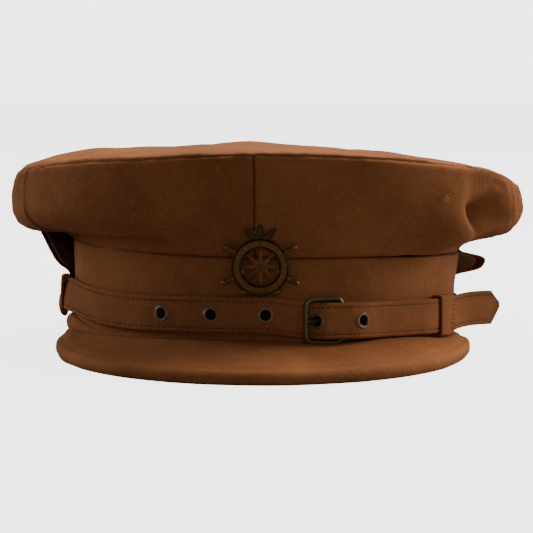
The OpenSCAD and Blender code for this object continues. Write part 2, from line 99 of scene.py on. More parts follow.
# Share of the overhang and height of the crown's side, from the band's edge to the top
# seam, by azimuth. The cap has sagged: it is fuller on the wearer's right, and on the left
# a hollow parts the front from a drooping lobe.
SIDE = {
    0: ((0, 39.2), (0.1, 45.5), (0.27, 54.5), (0.47, 63.5), (0.67, 72.5), (0.87, 81), (1, 87.2)),
    15: ((0, 39.2), (0.1, 45.5), (0.28, 54.5), (0.48, 63.5), (0.68, 72.5), (0.88, 80.5), (1, 86.6)),
    30: ((0, 39.2), (0.14, 45.5), (0.35, 54.5), (0.58, 63.5), (0.78, 72.5), (0.93, 80.5), (1, 85.5)),
    43: ((0, 39.2), (0.18, 44), (0.46, 50), (0.72, 58), (0.88, 67), (0.97, 75.5), (1, 83.8)),
    54: ((0, 39.2), (0.35, 42.7), (0.8, 46.8), (0.99, 54), (1.02, 64), (1.02, 74), (1, 82.2)),
    59: ((0, 39.2), (0.35, 43), (0.8, 47.6), (0.9, 52), (0.66, 59), (0.8, 68.5), (1.02, 81)),
    66: ((0, 39.2), (0.25, 43.5), (0.48, 48), (0.27, 54), (0.2, 61), (0.78, 69.5), (1, 79)),
    71: ((0, 39.2), (0.2, 43.6), (0.5, 47.7), (0.64, 52), (0.58, 60), (0.92, 69), (0.98, 77.3)),
    77: ((0, 39.2), (0.15, 43.9), (0.46, 47.5), (0.8, 50.8), (0.95, 56.5), (0.99, 66.5), (0.93, 75.6)),
    82: ((0, 39.2), (0.12, 43.9), (0.42, 47.5), (0.76, 50.4), (0.92, 55.5), (0.97, 65), (0.92, 74)),
    92: ((0, 39.2), (0.08, 43.9), (0.4, 47.7), (0.7, 50.5), (0.87, 55), (0.94, 61.5), (0.92, 69)),
    105: ((0, 39.2), (0.1, 43.5), (0.42, 47.2), (0.74, 50), (0.9, 54.7), (0.95, 61.5), (0.9, 69)),
    130: ((0, 39.2), (0.38, 41), (0.82, 44), (1.02, 50.5), (1.06, 59), (0.98, 69), (0.8, 75.5)),
    180: ((0, 39.2), (0.4, 41.5), (0.8, 44.5), (1.02, 51.5), (1.04, 60.5), (0.9, 73), (0.62, 79)),
    -120: ((0, 43.5), (0.4, 45.5), (0.85, 49), (1.02, 56.5), (1.05, 66.5), (0.93, 77), (0.7, 82)),
    -90: ((0, 47), (0.2, 49.8), (0.78, 51.8), (0.95, 57.5), (1, 67), (0.95, 76.5), (0.83, 81.5)),
    -74: ((0, 46), (0.03, 50), (0.66, 51.9), (0.96, 58.5), (1, 67.5), (0.98, 75.8), (0.9, 81.5)),
    -60: ((0, 44.2), (0.03, 49), (0.52, 51.2), (0.93, 58.8), (1, 67.5), (0.98, 76.5), (0.9, 83)),
    -48: ((0, 42.6), (0.04, 47), (0.46, 50.4), (0.86, 58), (0.98, 67), (0.98, 77), (0.9, 84.4)),
    -30: ((0, 40.8), (0.06, 44.8), (0.32, 49.5), (0.61, 57.3), (0.79, 67), (0.9, 77), (0.94, 85.3)),
    -15: ((0, 39.8), (0.12, 45), (0.3, 53.5), (0.5, 62.5), (0.7, 71.5), (0.88, 80), (0.98, 86.4)),
}
SIDE_SEAM_RIGHT = -71.5       # seams between the front and rear quarters
SIDE_SEAM_LEFT = 81.0
FRONT_SEAM = -1.5
COLUMNS_PER_DEGREE = 0.9
HOLLOW_A = np.array([66.0])   # middle of the hollow: azimuth, and share of the way up
HOLLOW_SHARE = np.array([0.55])
WRINKLE_PITCH = 4.6           # of the wrinkles round the hollow
CREASE_PITCH = 7.5            # of the creases low on the wearer's right
SEAM_DEPTH = 1.0              # how far the edges at the top seam are turned in

# Height of the crown's ridge from side to side, at x
RIDGE_X = (-132, -120, -107, -86, -54, -32, -6, 21, 39, 60, 83, 96, 109, 119, 134)
RIDGE_Z = (76, 82, 86.3, 90, 92.4, 94.2, 95.2, 93.2, 91.2, 90.2, 87, 84.6, 81.6, 77.5, 69)


# --- placing and shaping helpers ---

mount = {m["name"]: m for m in frame["record"]["mounts"]}["head_opening"]
ORIGIN = np.array(mount["pos_m"], float)
UP = -np.array(mount["axis"], float)
SIDEWAYS = np.array([1.0, 0.0, 0.0])
BACK = np.cross(UP, SIDEWAYS)
UPRIGHT = np.array([0.0, 0.0, 1.0])     # up in the cap frame


def place(points):
    """Cap frame in millimetres to the row frame in metres."""
    p = np.asarray(points, float) / 1000
    return ORIGIN + p[..., :1] * SIDEWAYS + p[..., 1:2] * BACK + p[..., 2:3] * UP


def above_floor(p, gap):
    """Lift whatever of a piece would lie below the surface that the cap stands on."""
    height = 1000 * ORIGIN[2] + p @ np.array([0.0, BACK[2], UP[2]])
    p[..., 2] += np.maximum(gap - height, 0) / UP[2]
    return p


def ramp(low, high, x):
    """Smooth step from 0 at low to 1 at high."""
    k = np.clip((np.asarray(x, float) - low) / (high - low), 0, 1)
    return k * k * (3 - 2 * k)


def bump(x, middle, width):
    """Bell curve of height 1."""
    return np.exp(-(((np.asarray(x, float) - middle) / width) ** 2))


def polar(a, r, z):
    """Point at azimuth a, radius r and height z; with r = 1 and z = 0, the outward direction."""
    a = np.radians(a)
    return np.stack(np.broadcast_arrays(r * np.sin(a), -r * np.cos(a), z), -1)


def circle(n):
    """Angles of n points round a full turn, in radians."""
    return np.radians(np.linspace(0, 360, n, endpoint=False))


def along_line(points):
    """Distance of each point from the first, along the line."""
    return np.concatenate([[0], np.cumsum(np.linalg.norm(np.diff(points, axis=0), axis=-1))])


def link(name, data):
    """New object in the scene."""
    ob = bpy.data.objects.new(name, data)
    bpy.context.scene.collection.objects.link(ob)
    return ob


def rough(points, size, seed, octaves=1):
    """Smooth noise of about -1 to 1 over points, with lumps of the given size."""
    flat = np.asarray(points, float).reshape(-1, 3)
    out = np.zeros(len(flat))
    gain = 1.0
    for o in range(octaves):
        shift = seed * 17.3 + o * 31.7
        out += gain * np.array([
            noise.noise(Vector((p[0] / size + shift, p[1] / size - shift, p[2] / size)))
            for p in flat])
        size, gain = size / 2, gain / 2
    return out.reshape(np.asarray(points).shape[:-1]) * 1.6


def clustered(n, share=0.5):
    """n + 1 steps from 0 to 1, closer together at both ends."""
    t = np.linspace(0, 1, n + 1)
    return t - share * np.sin(2 * math.pi * t) / (2 * math.pi)


def spline(points, t):
    """Catmull-Rom curve through points (..., k, d) at parameters t from 0 to 1."""
    p = np.asarray(points, float)
    k = p.shape[-2]
    p = np.concatenate([2 * p[..., :1, :] - p[..., 1:2, :], p,
                        2 * p[..., -1:, :] - p[..., -2:-1, :]], axis=-2)
    s = np.clip(np.asarray(t) * (k - 1), 0, k - 1 - 1e-9)
    i = s.astype(int)
    f = (s - i)[:, None]
    a, b, c, d = (p[..., i + j, :] for j in range(4))
    return 0.5 * (2 * b + (c - a) * f + (2 * a - 5 * b + 4 * c - d) * f ** 2
                  + (3 * b - a - 3 * c + d) * f ** 3)


def normals(grid, closed=False):
    """Unit normals of a grid of points: rows cross columns."""
    if closed:
        du = np.roll(grid, -1, 0) - np.roll(grid, 1, 0)
    else:
        du = np.gradient(grid, axis=0)
    n = np.cross(du, np.gradient(grid, axis=1))
    return n / np.maximum(np.linalg.norm(n, axis=-1, keepdims=True), 1e-9)


def lengths(grid, axis):
    """Distance along an axis of a grid, in millimetres."""
    step = np.linalg.norm(np.diff(grid, axis=axis), axis=-1)
    return np.concatenate([np.zeros_like(np.take(step, [0], axis)), np.cumsum(step, axis)], axis)


class Shape:
    """Vertices, faces and face-corner UVs of one piece, gathered from several parts."""

    def __init__(self):
        self.points, self.faces, self.uvs, self.count = [], [], [], 0

    def grid(self, p, uv=None, close_u=False, close_v=False, flip=False, caps=False):
        n, m = p.shape[:2]
        if uv is None:
            ring = np.concatenate([p, p[:1]]) if close_u else p
            ring = np.concatenate([ring, ring[:, :1]], 1) if close_v else ring
            along = lengths(ring, 0).mean(1)
            across = lengths(ring, 1).mean(0)
            uv = np.stack(np.meshgrid(along, across, indexing="ij"), -1)
        base = self.count
        for i in range(n if close_u else n - 1):
            for j in range(m if close_v else m - 1):
                i2, j2 = (i + 1) % n, (j + 1) % m
                face = [base + i * m + j, base + i2 * m + j, base + i2 * m + j2, base + i * m + j2]
                corner = [uv[i, j], uv[i + 1, j], uv[i + 1, j + 1], uv[i, j + 1]]
                self.faces.append(face[::-1] if flip else face)
                self.uvs.append(corner[::-1] if flip else corner)
        if caps:
            first = [base + j for j in range(m)]
            last = [base + (n - 1) * m + j for j in range(m)]
            for face, row, back in ((first, 0, not flip), (last, n - 1, flip)):
                face = face[::-1] if not back else face
                self.faces.append(face)
                self.uvs.append([uv[row, (v - base) % m] for v in face])
        self.points.append(p.reshape(-1, 3))
        self.count += n * m
        return self

    def make(self, name, material, slot, body="cap", smooth=True):
        mesh = bpy.data.meshes.new(name)
        mesh.from_pydata(place(np.concatenate(self.points)).tolist(), [], self.faces)
        layer = mesh.uv_layers.new(name="cloth")
        layer.data.foreach_set("uv", np.array([c for f in self.uvs for c in f], float).ravel())
        mesh.polygons.foreach_set("use_smooth", [smooth] * len(mesh.polygons))
        mesh.materials.append(material)
        mesh.update()
        piece = link(name, mesh)
        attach(piece, body)
        return piece


def thicken(piece, thickness, offset=-1.0):
    """Give a surface its cloth's thickness, in millimetres, on one side."""
    mod = piece.modifiers.new("thickness", "SOLIDIFY")
    mod.thickness = thickness / 1000
    mod.offset = offset
    mod.use_even_offset = False


# --- materials ---


class Nodes:
    """Short way to write a node tree."""

    def __init__(self, name):
        self.material = bpy.data.materials.new(name)
        self.material.use_nodes = True
        self.tree = self.material.node_tree
        self.tree.nodes.clear()
        self.shader = self.add("ShaderNodeBsdfPrincipled")
        out = self.add("ShaderNodeOutputMaterial")
        self.join(self.shader.outputs["BSDF"], out.inputs["Surface"])

    def add(self, kind, **values):
        node = self.tree.nodes.new(kind)
        for key, value in values.items():
            setattr(node, key, value)
        return node

    def join(self, source, target):
        self.tree.links.new(source, target)

    def feed(self, target, value):
        if isinstance(value, bpy.types.NodeSocket):
            self.join(value, target)
        else:
            target.default_value = value

    def math(self, operation, a, b=0.0, c=0.0):
        node = self.add("ShaderNodeMath", operation=operation)
        for target, value in zip(node.inputs, (a, b, c)):
            self.feed(target, value)
        return node.outputs[0]

    def place(self, uv=False):
        node = self.add("ShaderNodeTexCoord")
        return node.outputs["UV" if uv else "Object"]

    def noise(self, vector, scale, detail=2.0, rough=0.5):
        node = self.add("ShaderNodeTexNoise")
        self.join(vector, node.inputs["Vector"])
        node.inputs["Scale"].default_value = scale
        node.inputs["Detail"].default_value = detail
        node.inputs["Roughness"].default_value = rough
        return node.outputs["Fac"]

    def range(self, value, low, high, to_low=0.0, to_high=1.0):
        node = self.add("ShaderNodeMapRange")
        self.join(value, node.inputs["Value"])
        for key, v in (("From Min", low), ("From Max", high), ("To Min", to_low), ("To Max", to_high)):
            node.inputs[key].default_value = v
        return node.outputs["Result"]

    def mix(self, factor, a, b, blend="MIX"):
        node = self.add("ShaderNodeMix", data_type="RGBA", blend_type=blend)
        self.feed(node.inputs[0], factor)
        for index, value in ((6, a), (7, b)):
            if isinstance(value, tuple):
                value = (*value, 1.0) if len(value) == 3 else value
            self.feed(node.inputs[index], value)
        return node.outputs[2]

    def bump(self, height, strength, distance, below=None):
        node = self.add("ShaderNodeBump")
        node.inputs["Strength"].default_value = strength
        node.inputs["Distance"].default_value = distance
        self.join(height, node.inputs["Height"])
        if below is not None:
            self.join(below, node.inputs["Normal"])
        return node.outputs["Normal"]

    def set(self, **values):
        names = {"color": "Base Color", "roughness": "Roughness", "metallic": "Metallic",
                 "normal": "Normal", "sheen": "Sheen Weight", "sheen_rough": "Sheen Roughness",
                 "sheen_tint": "Sheen Tint", "specular": "Specular IOR Level", "coat": "Coat Weight"}
        for key, value in values.items():
            if isinstance(value, tuple) and len(value) == 3:
                value = (*value, 1.0)
            self.feed(self.shader.inputs[names[key]], value)
        return self.material


def cloth(name, color, pitch=1.05, slope=1.0, strength=0.5, fade=0.35, contrast=0.3, grain=0.66):
    """Wool drill: twill lines of the given pitch and slope, crossing threads, nap and wear.

    UVs are in millimetres. A slope of 0 gives lines up the cloth.
    """
    n = Nodes(name)
    uv = n.place(uv=True)
    where = n.place()
    split = n.add("ShaderNodeSeparateXYZ")
    n.join(uv, split.inputs[0])
    u, v = split.outputs[0], split.outputs[1]
    wobble = n.math("MULTIPLY", n.noise(uv, 0.05, 1.0), 2.2)
    tilt = math.hypot(1, slope)
    line = n.math("ADD", n.math("MULTIPLY_ADD", v, slope / tilt, n.math("DIVIDE", u, tilt)), wobble)
    twill = n.math("SINE", n.math("MULTIPLY", line, 2 * math.pi / pitch))
    thread = n.math("SINE", n.math("MULTIPLY", n.math("SUBTRACT", v, n.math("MULTIPLY", u, slope)),
                                   2 * math.pi / (pitch * 0.62)))
    weave = n.math("MULTIPLY_ADD", thread, 0.3, n.math("MULTIPLY", twill, 0.7))
    nap = n.noise(where, 850.0, 3.0, 0.75)
    patches = n.noise(where, 28.0, 4.0, 0.6)
    slubs = n.noise(where, 260.0, 2.0, 0.6)
    dark = tuple(c * (1 - contrast) for c in color)
    light = tuple(min(1.0, c * (1 + contrast)) for c in color)
    pale = tuple(min(1.0, c * (1 + fade) + 0.004) for c in color)
    deep = tuple(c * grain for c in color)
    base = n.mix(n.range(weave, -1, 1, 0.15, 0.85), dark, light)
    base = n.mix(n.range(nap, 0.32, 0.68, 0.0, 0.8), base, deep)
    base = n.mix(n.range(slubs, 0.56, 0.75, 0.0, 0.5), base, pale)
    base = n.mix(n.range(patches, 0.35, 0.7, 0.0, 0.6), base, pale)
    normal = n.bump(weave, strength, 0.00022)
    normal = n.bump(nap, 0.45, 0.00035, normal)
    normal = n.bump(slubs, 0.25, 0.0005, normal)
    return n.set(color=base, roughness=n.range(nap, 0.2, 0.8, 0.8, 0.98), normal=normal,
                 sheen=0.12, sheen_rough=0.5, sheen_tint=pale, specular=0.12)


def metal(name, color, worn, rough_low=0.35, rough_high=0.62, amount=0.9):
    """Browned brass: tarnish in patches, rubbed bright on the edges, with fine pitting."""
    n = Nodes(name)
    where = n.place()
    shape = n.add("ShaderNodeNewGeometry")
    patches = n.noise(where, 420.0, 4.0, 0.65)
    pits = n.noise(where, 3200.0, 2.0, 0.6)
    rubbed = n.math("MULTIPLY", n.range(shape.outputs["Pointiness"], 0.5, 0.56),
                    n.range(patches, 0.3, 0.6, 0.35, 1.0))
    base = n.mix(n.range(patches, 0.38, 0.62), color, tuple(c * 0.55 for c in color))
    base = n.mix(rubbed, base, worn)
    rough_value = n.range(patches, 0.3, 0.7, rough_low, rough_high)
    return n.set(color=base, metallic=amount, roughness=rough_value,
                 normal=n.bump(pits, 0.35, 0.00012))


def leather(name, color):
    """Polished leather with a fine grain and darker patches."""
    n = Nodes(name)
    where = n.place()
    cell = n.add("ShaderNodeTexVoronoi")
    n.join(where, cell.inputs["Vector"])
    cell.inputs["Scale"].default_value = 900.0
    patches = n.noise(where, 35.0, 4.0, 0.6)
    dark = tuple(c * 0.5 for c in color)
    base = n.mix(n.range(patches, 0.3, 0.7), dark, color)
    normal = n.bump(cell.outputs["Distance"], 0.3, 0.0002)
    return n.set(color=base, roughness=n.range(patches, 0.3, 0.7, 0.34, 0.6),
                 normal=n.bump(patches, 0.2, 0.002, normal))


BROWN = (0.24, 0.082, 0.026)
drill = cloth("drill", BROWN, pitch=1.1, slope=0.0, contrast=0.34, strength=0.8)
worsted = cloth("worsted", (0.255, 0.09, 0.03), pitch=0.95, slope=1.0, contrast=0.3, strength=0.6)
top_cloth = cloth("faded_drill", (0.27, 0.098, 0.034), pitch=1.05, slope=0.8, contrast=0.3, fade=0.25)
strap_cloth = cloth("strap_worsted", (0.285, 0.103, 0.036), pitch=1.15, slope=1.0, contrast=0.5, strength=1.0)
top_peak = cloth("peak_drill", (0.285, 0.102, 0.034), pitch=0.9, slope=0.7,
                 contrast=0.2, strength=0.35, grain=0.55)
under_cloth = cloth("under_cloth", (0.115, 0.045, 0.018), pitch=1.0, slope=1.0, fade=0.2)
# Pale lining colour: painted light that lifts the flap's deeply shaded inside.
flap_lining_painted_light = cloth("flap_lining", (0.5, 0.33, 0.21), pitch=1.0, slope=1.0, fade=0.2)
# dark_cloth is near-black: it paints the shade inside the eyelet holes.
dark_cloth = cloth("dark_cloth", (0.03, 0.016, 0.009), pitch=0.8, slope=1.0, fade=0.2)
lining_cloth = cloth("lining_cotton", (0.24, 0.16, 0.09), pitch=0.5, slope=1.0, contrast=0.1, strength=0.2)
buckram = cloth("buckram", (0.5, 0.42, 0.3), pitch=1.6, slope=0.0, contrast=0.25)
board = cloth("pressed_board", (0.42, 0.33, 0.22), pitch=2.4, slope=1.0, contrast=0.06, strength=0.1)
thread = cloth("thread", (0.075, 0.032, 0.014), pitch=0.35, slope=1.0, contrast=0.35)
pale_thread = cloth("pale_thread", (0.4, 0.22, 0.1), pitch=0.35, slope=1.0, contrast=0.3)
orange_thread = cloth("orange_thread", (0.55, 0.17, 0.03), pitch=0.35, slope=1.0, contrast=0.2)
sweat_leather = leather("sweat_leather", (0.2, 0.085, 0.033))
brass = metal("aged_brass", (0.155, 0.12, 0.05), (0.36, 0.27, 0.12))
bronze = metal("dark_bronze", (0.062, 0.04, 0.017), (0.28, 0.125, 0.04), 0.42, 0.72)
eyelet_metal = metal("eyelet_bronze", (0.085, 0.05, 0.026), (0.27, 0.18, 0.105), 0.35, 0.6)


# --- crown ---


def crown_reach(a):
    """Distance of the crown's outline from the band's axis, at azimuth a."""
    s, c = np.sin(np.radians(a)), -np.cos(np.radians(a))
    (cx, cy), (hx, hy) = CROWN_CENTRE, CROWN_HALF
    qa = (s / hx) ** 2 + (c / hy) ** 2
    qb = -2 * (s * cx / hx ** 2 + c * cy / hy ** 2)
    qc = (cx / hx) ** 2 + (cy / hy) ** 2 - 1
    return (-qb + np.sqrt(qb * qb - 4 * qa * qc)) / (2 * qa)


def side_profiles():
    """The side's seven guide points at every degree from -180 to 180, rounded off."""
    keys = sorted(SIDE)
    table = np.array([SIDE[k] for k in keys], float)
    around = np.arange(-180, 180)
    long_keys = np.array([k - 360 for k in keys] + keys + [k + 360 for k in keys], float)
    tripled = np.concatenate([table] * 3)
    out = np.stack([[np.interp(around, long_keys, tripled[:, i, j]) for j in (0, 1)]
                    for i in range(table.shape[1])])
    reach = np.arange(-9, 10)
    weight = np.exp(-(reach / 2.2) ** 2)
    weight /= weight.sum()
    soft = sum(w * np.roll(out, int(r), axis=-1) for w, r in zip(weight, reach))
    return np.moveaxis(soft, -1, 0)


PROFILES = side_profiles()


def profile_at(a):
    """Guide points (share, z) at azimuths a."""
    a = (np.asarray(a, float) + 180) % 360
    low = np.floor(a).astype(int) % 360
    f = (a - np.floor(a))[:, None, None]
    return PROFILES[low] * (1 - f) + PROFILES[(low + 1) % 360] * f


def side_surface(a, t):
    """Points of the crown's side at azimuths a and shares t of the way to the top seam."""
    curve = spline(profile_at(a), t)
    a = np.asarray(a, float)[:, None]
    reach = crown_reach(a)
    r = BAND_R + 0.3 + curve[..., 0] * (reach - BAND_R - 0.3)
    return polar(a, r, curve[..., 1])


def band_top(a):
    """Height of the seam between band and crown."""
    return profile_at(np.atleast_1d(a))[:, 0, 1]


def seam_depth(p):
    """How far the edges at the top seam are turned in: less at the crown's two ends."""
    return SEAM_DEPTH * (1 - 0.75 * ramp(92, 116, np.abs(p[..., 0])))


def quarter(side_name, start, end, material, slot, seed):
    """One quarter of the crown's side, from azimuth start to end."""
    a = start + (end - start) * clustered(int((end - start) * COLUMNS_PER_DEGREE), 0.55)
    p = side_surface(a, clustered(44, 0.6))
    n = normals(p)
    u, v = lengths(p, 0), lengths(p, 1)
    top, bottom = v[:, -1:] - v, v
    side = np.minimum(u, u[-1:] - u)
    # Wrinkles spread round the hollow on the wearer's left, and fade away from it
    hollow = side_surface(HOLLOW_A, HOLLOW_SHARE)[0, 0]
    away = np.linalg.norm(p - hollow, axis=-1)
    aa = a[:, None]
    lobe = ramp(62, 69, aa) * (1 - ramp(96, 112, aa))
    wrinkles = np.sin(away * 2 * math.pi / WRINKLE_PITCH + 1.5 * rough(p, 14, seed + 5))
    d = 0.32 * wrinkles * lobe * bump(away, 30, 22)
    # Puckers at the seams, and the seams' own turned-in edges
    pucker = rough(np.stack([u, v * 0.25, 0 * u], -1), 5.5, seed + 8)
    d = d + 0.35 * pucker * (bump(top, 0, 7) + 0.9 * bump(bottom, 0, 8))
    d = d + 0.35 * bump(top, 2.6, 1.8) - seam_depth(p) * bump(top, 0, 0.6)
    d = d + 0.4 * bump(side, 2.6, 1.6) - 0.75 * bump(side, 0, 0.75)
    d = d + 0.35 * bump(bottom, 3, 2) - 0.9 * bump(bottom, 0, 0.9)
    # Creases low on the wearer's right, under the fold
    fold = bump(aa, -44, 15) * bump(v, 13, 7)
    d = d + fold * 0.8 * np.sin(v * 2 * math.pi / CREASE_PITCH + 0.07 * aa + 1.2 * rough(p, 20, seed + 2))
    free = ramp(0, 14, top) * ramp(0, 16, bottom)
    loose = (rough(p, 44, seed, 2) + 0.3 * rough(p * [1, 1, 1.8], 15, seed + 3, 2)) * (0.15 + 0.85 * free)
    p = p + n * (d + loose)[..., None]
    piece = Shape().grid(p, np.stack([u, v], -1)).make(f"quarter_{side_name}_cloth", material, slot)
    thicken(piece, CROWN_T)
    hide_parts(f"quarter_{side_name}")


for quarter_values in (("front_right", SIDE_SEAM_RIGHT, FRONT_SEAM, drill, "drill_cloth", 1),
                       ("front_left", FRONT_SEAM, SIDE_SEAM_LEFT, worsted, "worsted_cloth", 2),
                       ("rear_left", SIDE_SEAM_LEFT, 180, worsted, "worsted_cloth", 3),
                       ("rear_right", -180, SIDE_SEAM_RIGHT, drill, "drill_cloth", 4)):
    quarter(*quarter_values)


def crown_top():
    """Top panel, drawn in rings from the seam to the middle."""
    around = np.linspace(-180, 180, 400, endpoint=False)
    edge = side_surface(around, np.array([0.94, 0.97, 1.0]))
    outward = normals(edge, closed=True)[:, -1]
    rim = edge[:, -1]
    lean = edge[:, -1] - edge[:, 0]
    lean /= np.linalg.norm(lean, axis=-1, keepdims=True)
    k = 1 - np.concatenate([[0, 0.003, 0.007, 0.012, 0.018, 0.026, 0.036, 0.05, 0.068],
                            np.linspace(0.09, 0.96, 36)])
    centre = np.array(CROWN_CENTRE)
    p = np.zeros((len(around), len(k), 3))
    p[..., :2] = centre + (rim[:, None, :2] - centre) * k[None, :, None]
    # The ridge's line from side to side, brought down to the seam in front and behind
    ridge = np.interp(p[..., 0], RIDGE_X, RIDGE_Z)
    at_rim = np.interp(rim[:, 0], RIDGE_X, RIDGE_Z)
    p[..., 2] = ridge + (rim[:, 2] - at_rim)[:, None] * k[None, :] ** 3.4
    # It leaves the seam in the side's own direction, and swells before it turns in
    inward = lengths(p, 1)
    full = 2.6 - 1.4 * ramp(60, 110, rim[:, 0])
    swell = full[:, None] * (1 - np.exp(-inward / 2.2)) * np.exp(-inward / 15)
    p = p + lean[:, None, :] * swell[..., None]
    flat = np.stack([around[:, None] * 2.0 + 0 * inward, inward * 0.3, 0 * inward], -1)
    wave = 0.6 * rough(flat, 17, 21, 2) * bump(inward, 11, 9)
    pucker = 0.2 * rough(flat, 6, 22) * bump(inward, 3, 5)
    broad = (1.8 * rough(p, 62, 24, 2) + 0.8 * rough(p * [0.6, 1.5, 1], 20, 25, 2)) * ramp(4, 26, inward)
    crease = 1.3 * bump(p[..., 1] - 0.35 * p[..., 0] - 12, 0, 5) * bump(p[..., 0], -70, 34) \
        - 1.2 * bump(p[..., 1] + 0.5 * p[..., 0] - 10, 0, 6) * bump(p[..., 0], 62, 26)
    p[..., 2] += wave + pucker + broad + crease * ramp(8, 30, inward)
    sunk = seam_depth(rim)[:, None] * np.exp(-(inward / 0.7) ** 2)
    p = p - outward[:, None, :] * sunk[..., None]
    uv = np.concatenate([p[..., :2], p[:1, :, :2]])
    shape = Shape().grid(p, uv, close_u=True)
    middle = p[:, -1].mean(0) + [0, 0, 0.2]
    shape.points.append(middle[None])
    last = shape.count
    shape.count += 1
    m = p.shape[1]
    for i in range(len(around)):
        j = (i + 1) % len(around)
        shape.faces.append([i * m + m - 1, j * m + m - 1, last])
        shape.uvs.append([p[i, -1, :2], p[j, -1, :2], middle[:2]])
    piece = shape.make("crown_top_cloth", top_cloth, "drill_cloth")
    thicken(piece, CROWN_T, -1.0)
    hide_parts("crown_top")


crown_top()


# --- band, lining and sweatband ---


BAND_AZIMUTHS = -180 + 360 * clustered(300, 0.3)
PLEATS = 46                   # gathers round the lining


def ring_piece(name, node, r, low, high, thickness, material, slot, seed, wave, extra=None):
    """A strip of cloth or leather once round, from height low to high, joined at the back."""
    a = BAND_AZIMUTHS
    low_z = np.broadcast_to(low, a.shape)
    high_z = np.broadcast_to(high, a.shape)
    z = low_z[:, None] + (high_z - low_z)[:, None] * clustered(16, 0.5)
    p = polar(a[:, None], r, z)
    out = polar(a[:, None], 1.0, 0 * z)
    v = z - low_z[:, None]
    top = high_z[:, None] - z
    seam = r * np.radians(180 - np.abs(a))[:, None]
    d = wave * rough(p, 30, seed, 2) - 0.8 * bump(seam, 0, 0.9) + 0.25 * bump(seam, 3, 2)
    d = d - 0.7 * bump(v, 0, 0.8) - 0.7 * bump(top, 0, 0.9)
    if extra is not None:
        d = d + extra(a[:, None], z)
    p = p + out * d[..., None]
    u = np.radians(a + 180)[:, None] * r + 0 * z
    piece = Shape().grid(p, np.stack([u, v], -1)).make(name, material, slot)
    thicken(piece, thickness)
    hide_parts(node)


def band_shape(a, z):
    """The band dips a little between strap and crown, and its cloth is pulled on the left."""
    wide = 2.4 * ramp(14, 38, z) * bump(a, 92, 24)
    return wide - 0.45 * bump(z, 30, 7) * ramp(20, 60, np.abs(a)) - 0.3 * bump(z, 24, 3)


def seam_lift(a):
    """How far the peak cloth's seam on the band sits above the board's edge."""
    return 1.3 - 1.7 * bump(a, BUCKLE_A + 1, 10) - 1.2 * ramp(44, 58, a) + 1.0 * ramp(-60, -80, a)


def band_foot(a):
    """Lower edge of the band: level, but it reaches down to the peak where that is sewn on."""
    seam = PEAK_IN_Z + (1.5 + seam_lift(a)) * 0.96 - 0.25
    return np.minimum(seam, 0) * (1 - ramp(PEAK_END - 3, PEAK_END, np.abs(a)))


ring_piece("band_wrap", "band_cloth", BAND_R, band_foot(BAND_AZIMUTHS), band_top(BAND_AZIMUTHS) + 0.1,
           BAND_T, worsted, "worsted_cloth", 31, 0.2, band_shape)
ring_piece("sweatband_leather", "sweatband", SWEAT_R, 0.0, SWEAT_H,
           SWEAT_T, sweat_leather, "sweat_leather", 33, 0.15)


def lining():
    """Lining from the sweatband up and over to the middle, gathered at its turn."""
    a = np.linspace(-180, 180, 240, endpoint=False)
    stops = [(91.8, 41.5), (93.5, 50), (95.5, 59), (97, 66), (97.6, 70.5), (95.5, 72.9), (90, 73.6),
             (70, 73.9), (45, 73.2), (20, 72.8), (3, 72.7)]
    r, z = spline(np.array(stops, float), np.linspace(0, 1, 60)).T[:, None]
    p = polar(a[:, None], r, z)
    pleat = 0.7 * np.sin(np.radians(a[:, None]) * PLEATS) * bump(z, 70, 9) * ramp(60, 95, r)
    sag = 0.3 * np.abs(rough(p, 30, 41, 2)) * ramp(90, 60, r)
    p = p - polar(a[:, None], 1.0, 0 * p[..., 2]) * pleat[..., None]
    p[..., 2] -= sag
    piece = Shape().grid(p, close_u=True, flip=True)
    m = p.shape[1]
    piece.faces.append([i * m + m - 1 for i in range(len(a))])
    piece.uvs.append([p[i, -1, :2] for i in range(len(a))])
    piece = piece.make("lining_cotton", lining_cloth, "lining_cloth")
    thicken(piece, 0.5, 1.0)
    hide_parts("lining_top", "lining_side")


lining()


# --- peak ---


def peak_edges(f):
    """Inner and outer edge of the peak's middle surface, for f from -90 to 90."""
    inner = polar(f * PEAK_END / 90, BAND_R + 0.3, PEAK_IN_Z)
    c, s = np.cos(np.radians(f)), np.sin(np.radians(f))
    y = -22 - (BAND_R + PEAK_L - 22) * np.clip(c, 0, 1) ** 0.9
    outer = np.stack([PEAK_W / 2 * s, y, -PEAK_DROP + PEAK_RISE * (1 - c)], -1)
    return inner, outer


def on_peak(f, distance, height):
    """Point at a distance from the peak's inner edge, and a height over its middle surface."""
    inner, outer = peak_edges(f)
    e = outer - inner
    width = np.linalg.norm(e, axis=-1, keepdims=True)
    e = e / width
    flat = np.linalg.norm(e[..., :2], axis=-1, keepdims=True)
    up = np.concatenate([-e[..., :2] * e[..., 2:3], flat * flat], -1) / flat
    d = distance[..., None]
    return inner + e * d + up * height[..., None]


def peak_width(f):
    """Width of the middle surface at f."""
    inner, outer = peak_edges(f)
    return np.linalg.norm(outer - inner, axis=-1)


def close_ends(p, middle):
    """Bring a cloth of the peak in towards the peak's middle surface behind its two ends."""
    for column, share, back in ((0, 0.03, 1.7), (1, 0.6, 1.6), (2, 0.9, 1.2), (3, 1.0, 0.6)):
        for end in (column, -1 - column):
            p[end] = middle[end] + (p[end] - middle[end]) * share
            p[end, :, 1] += back
    return p


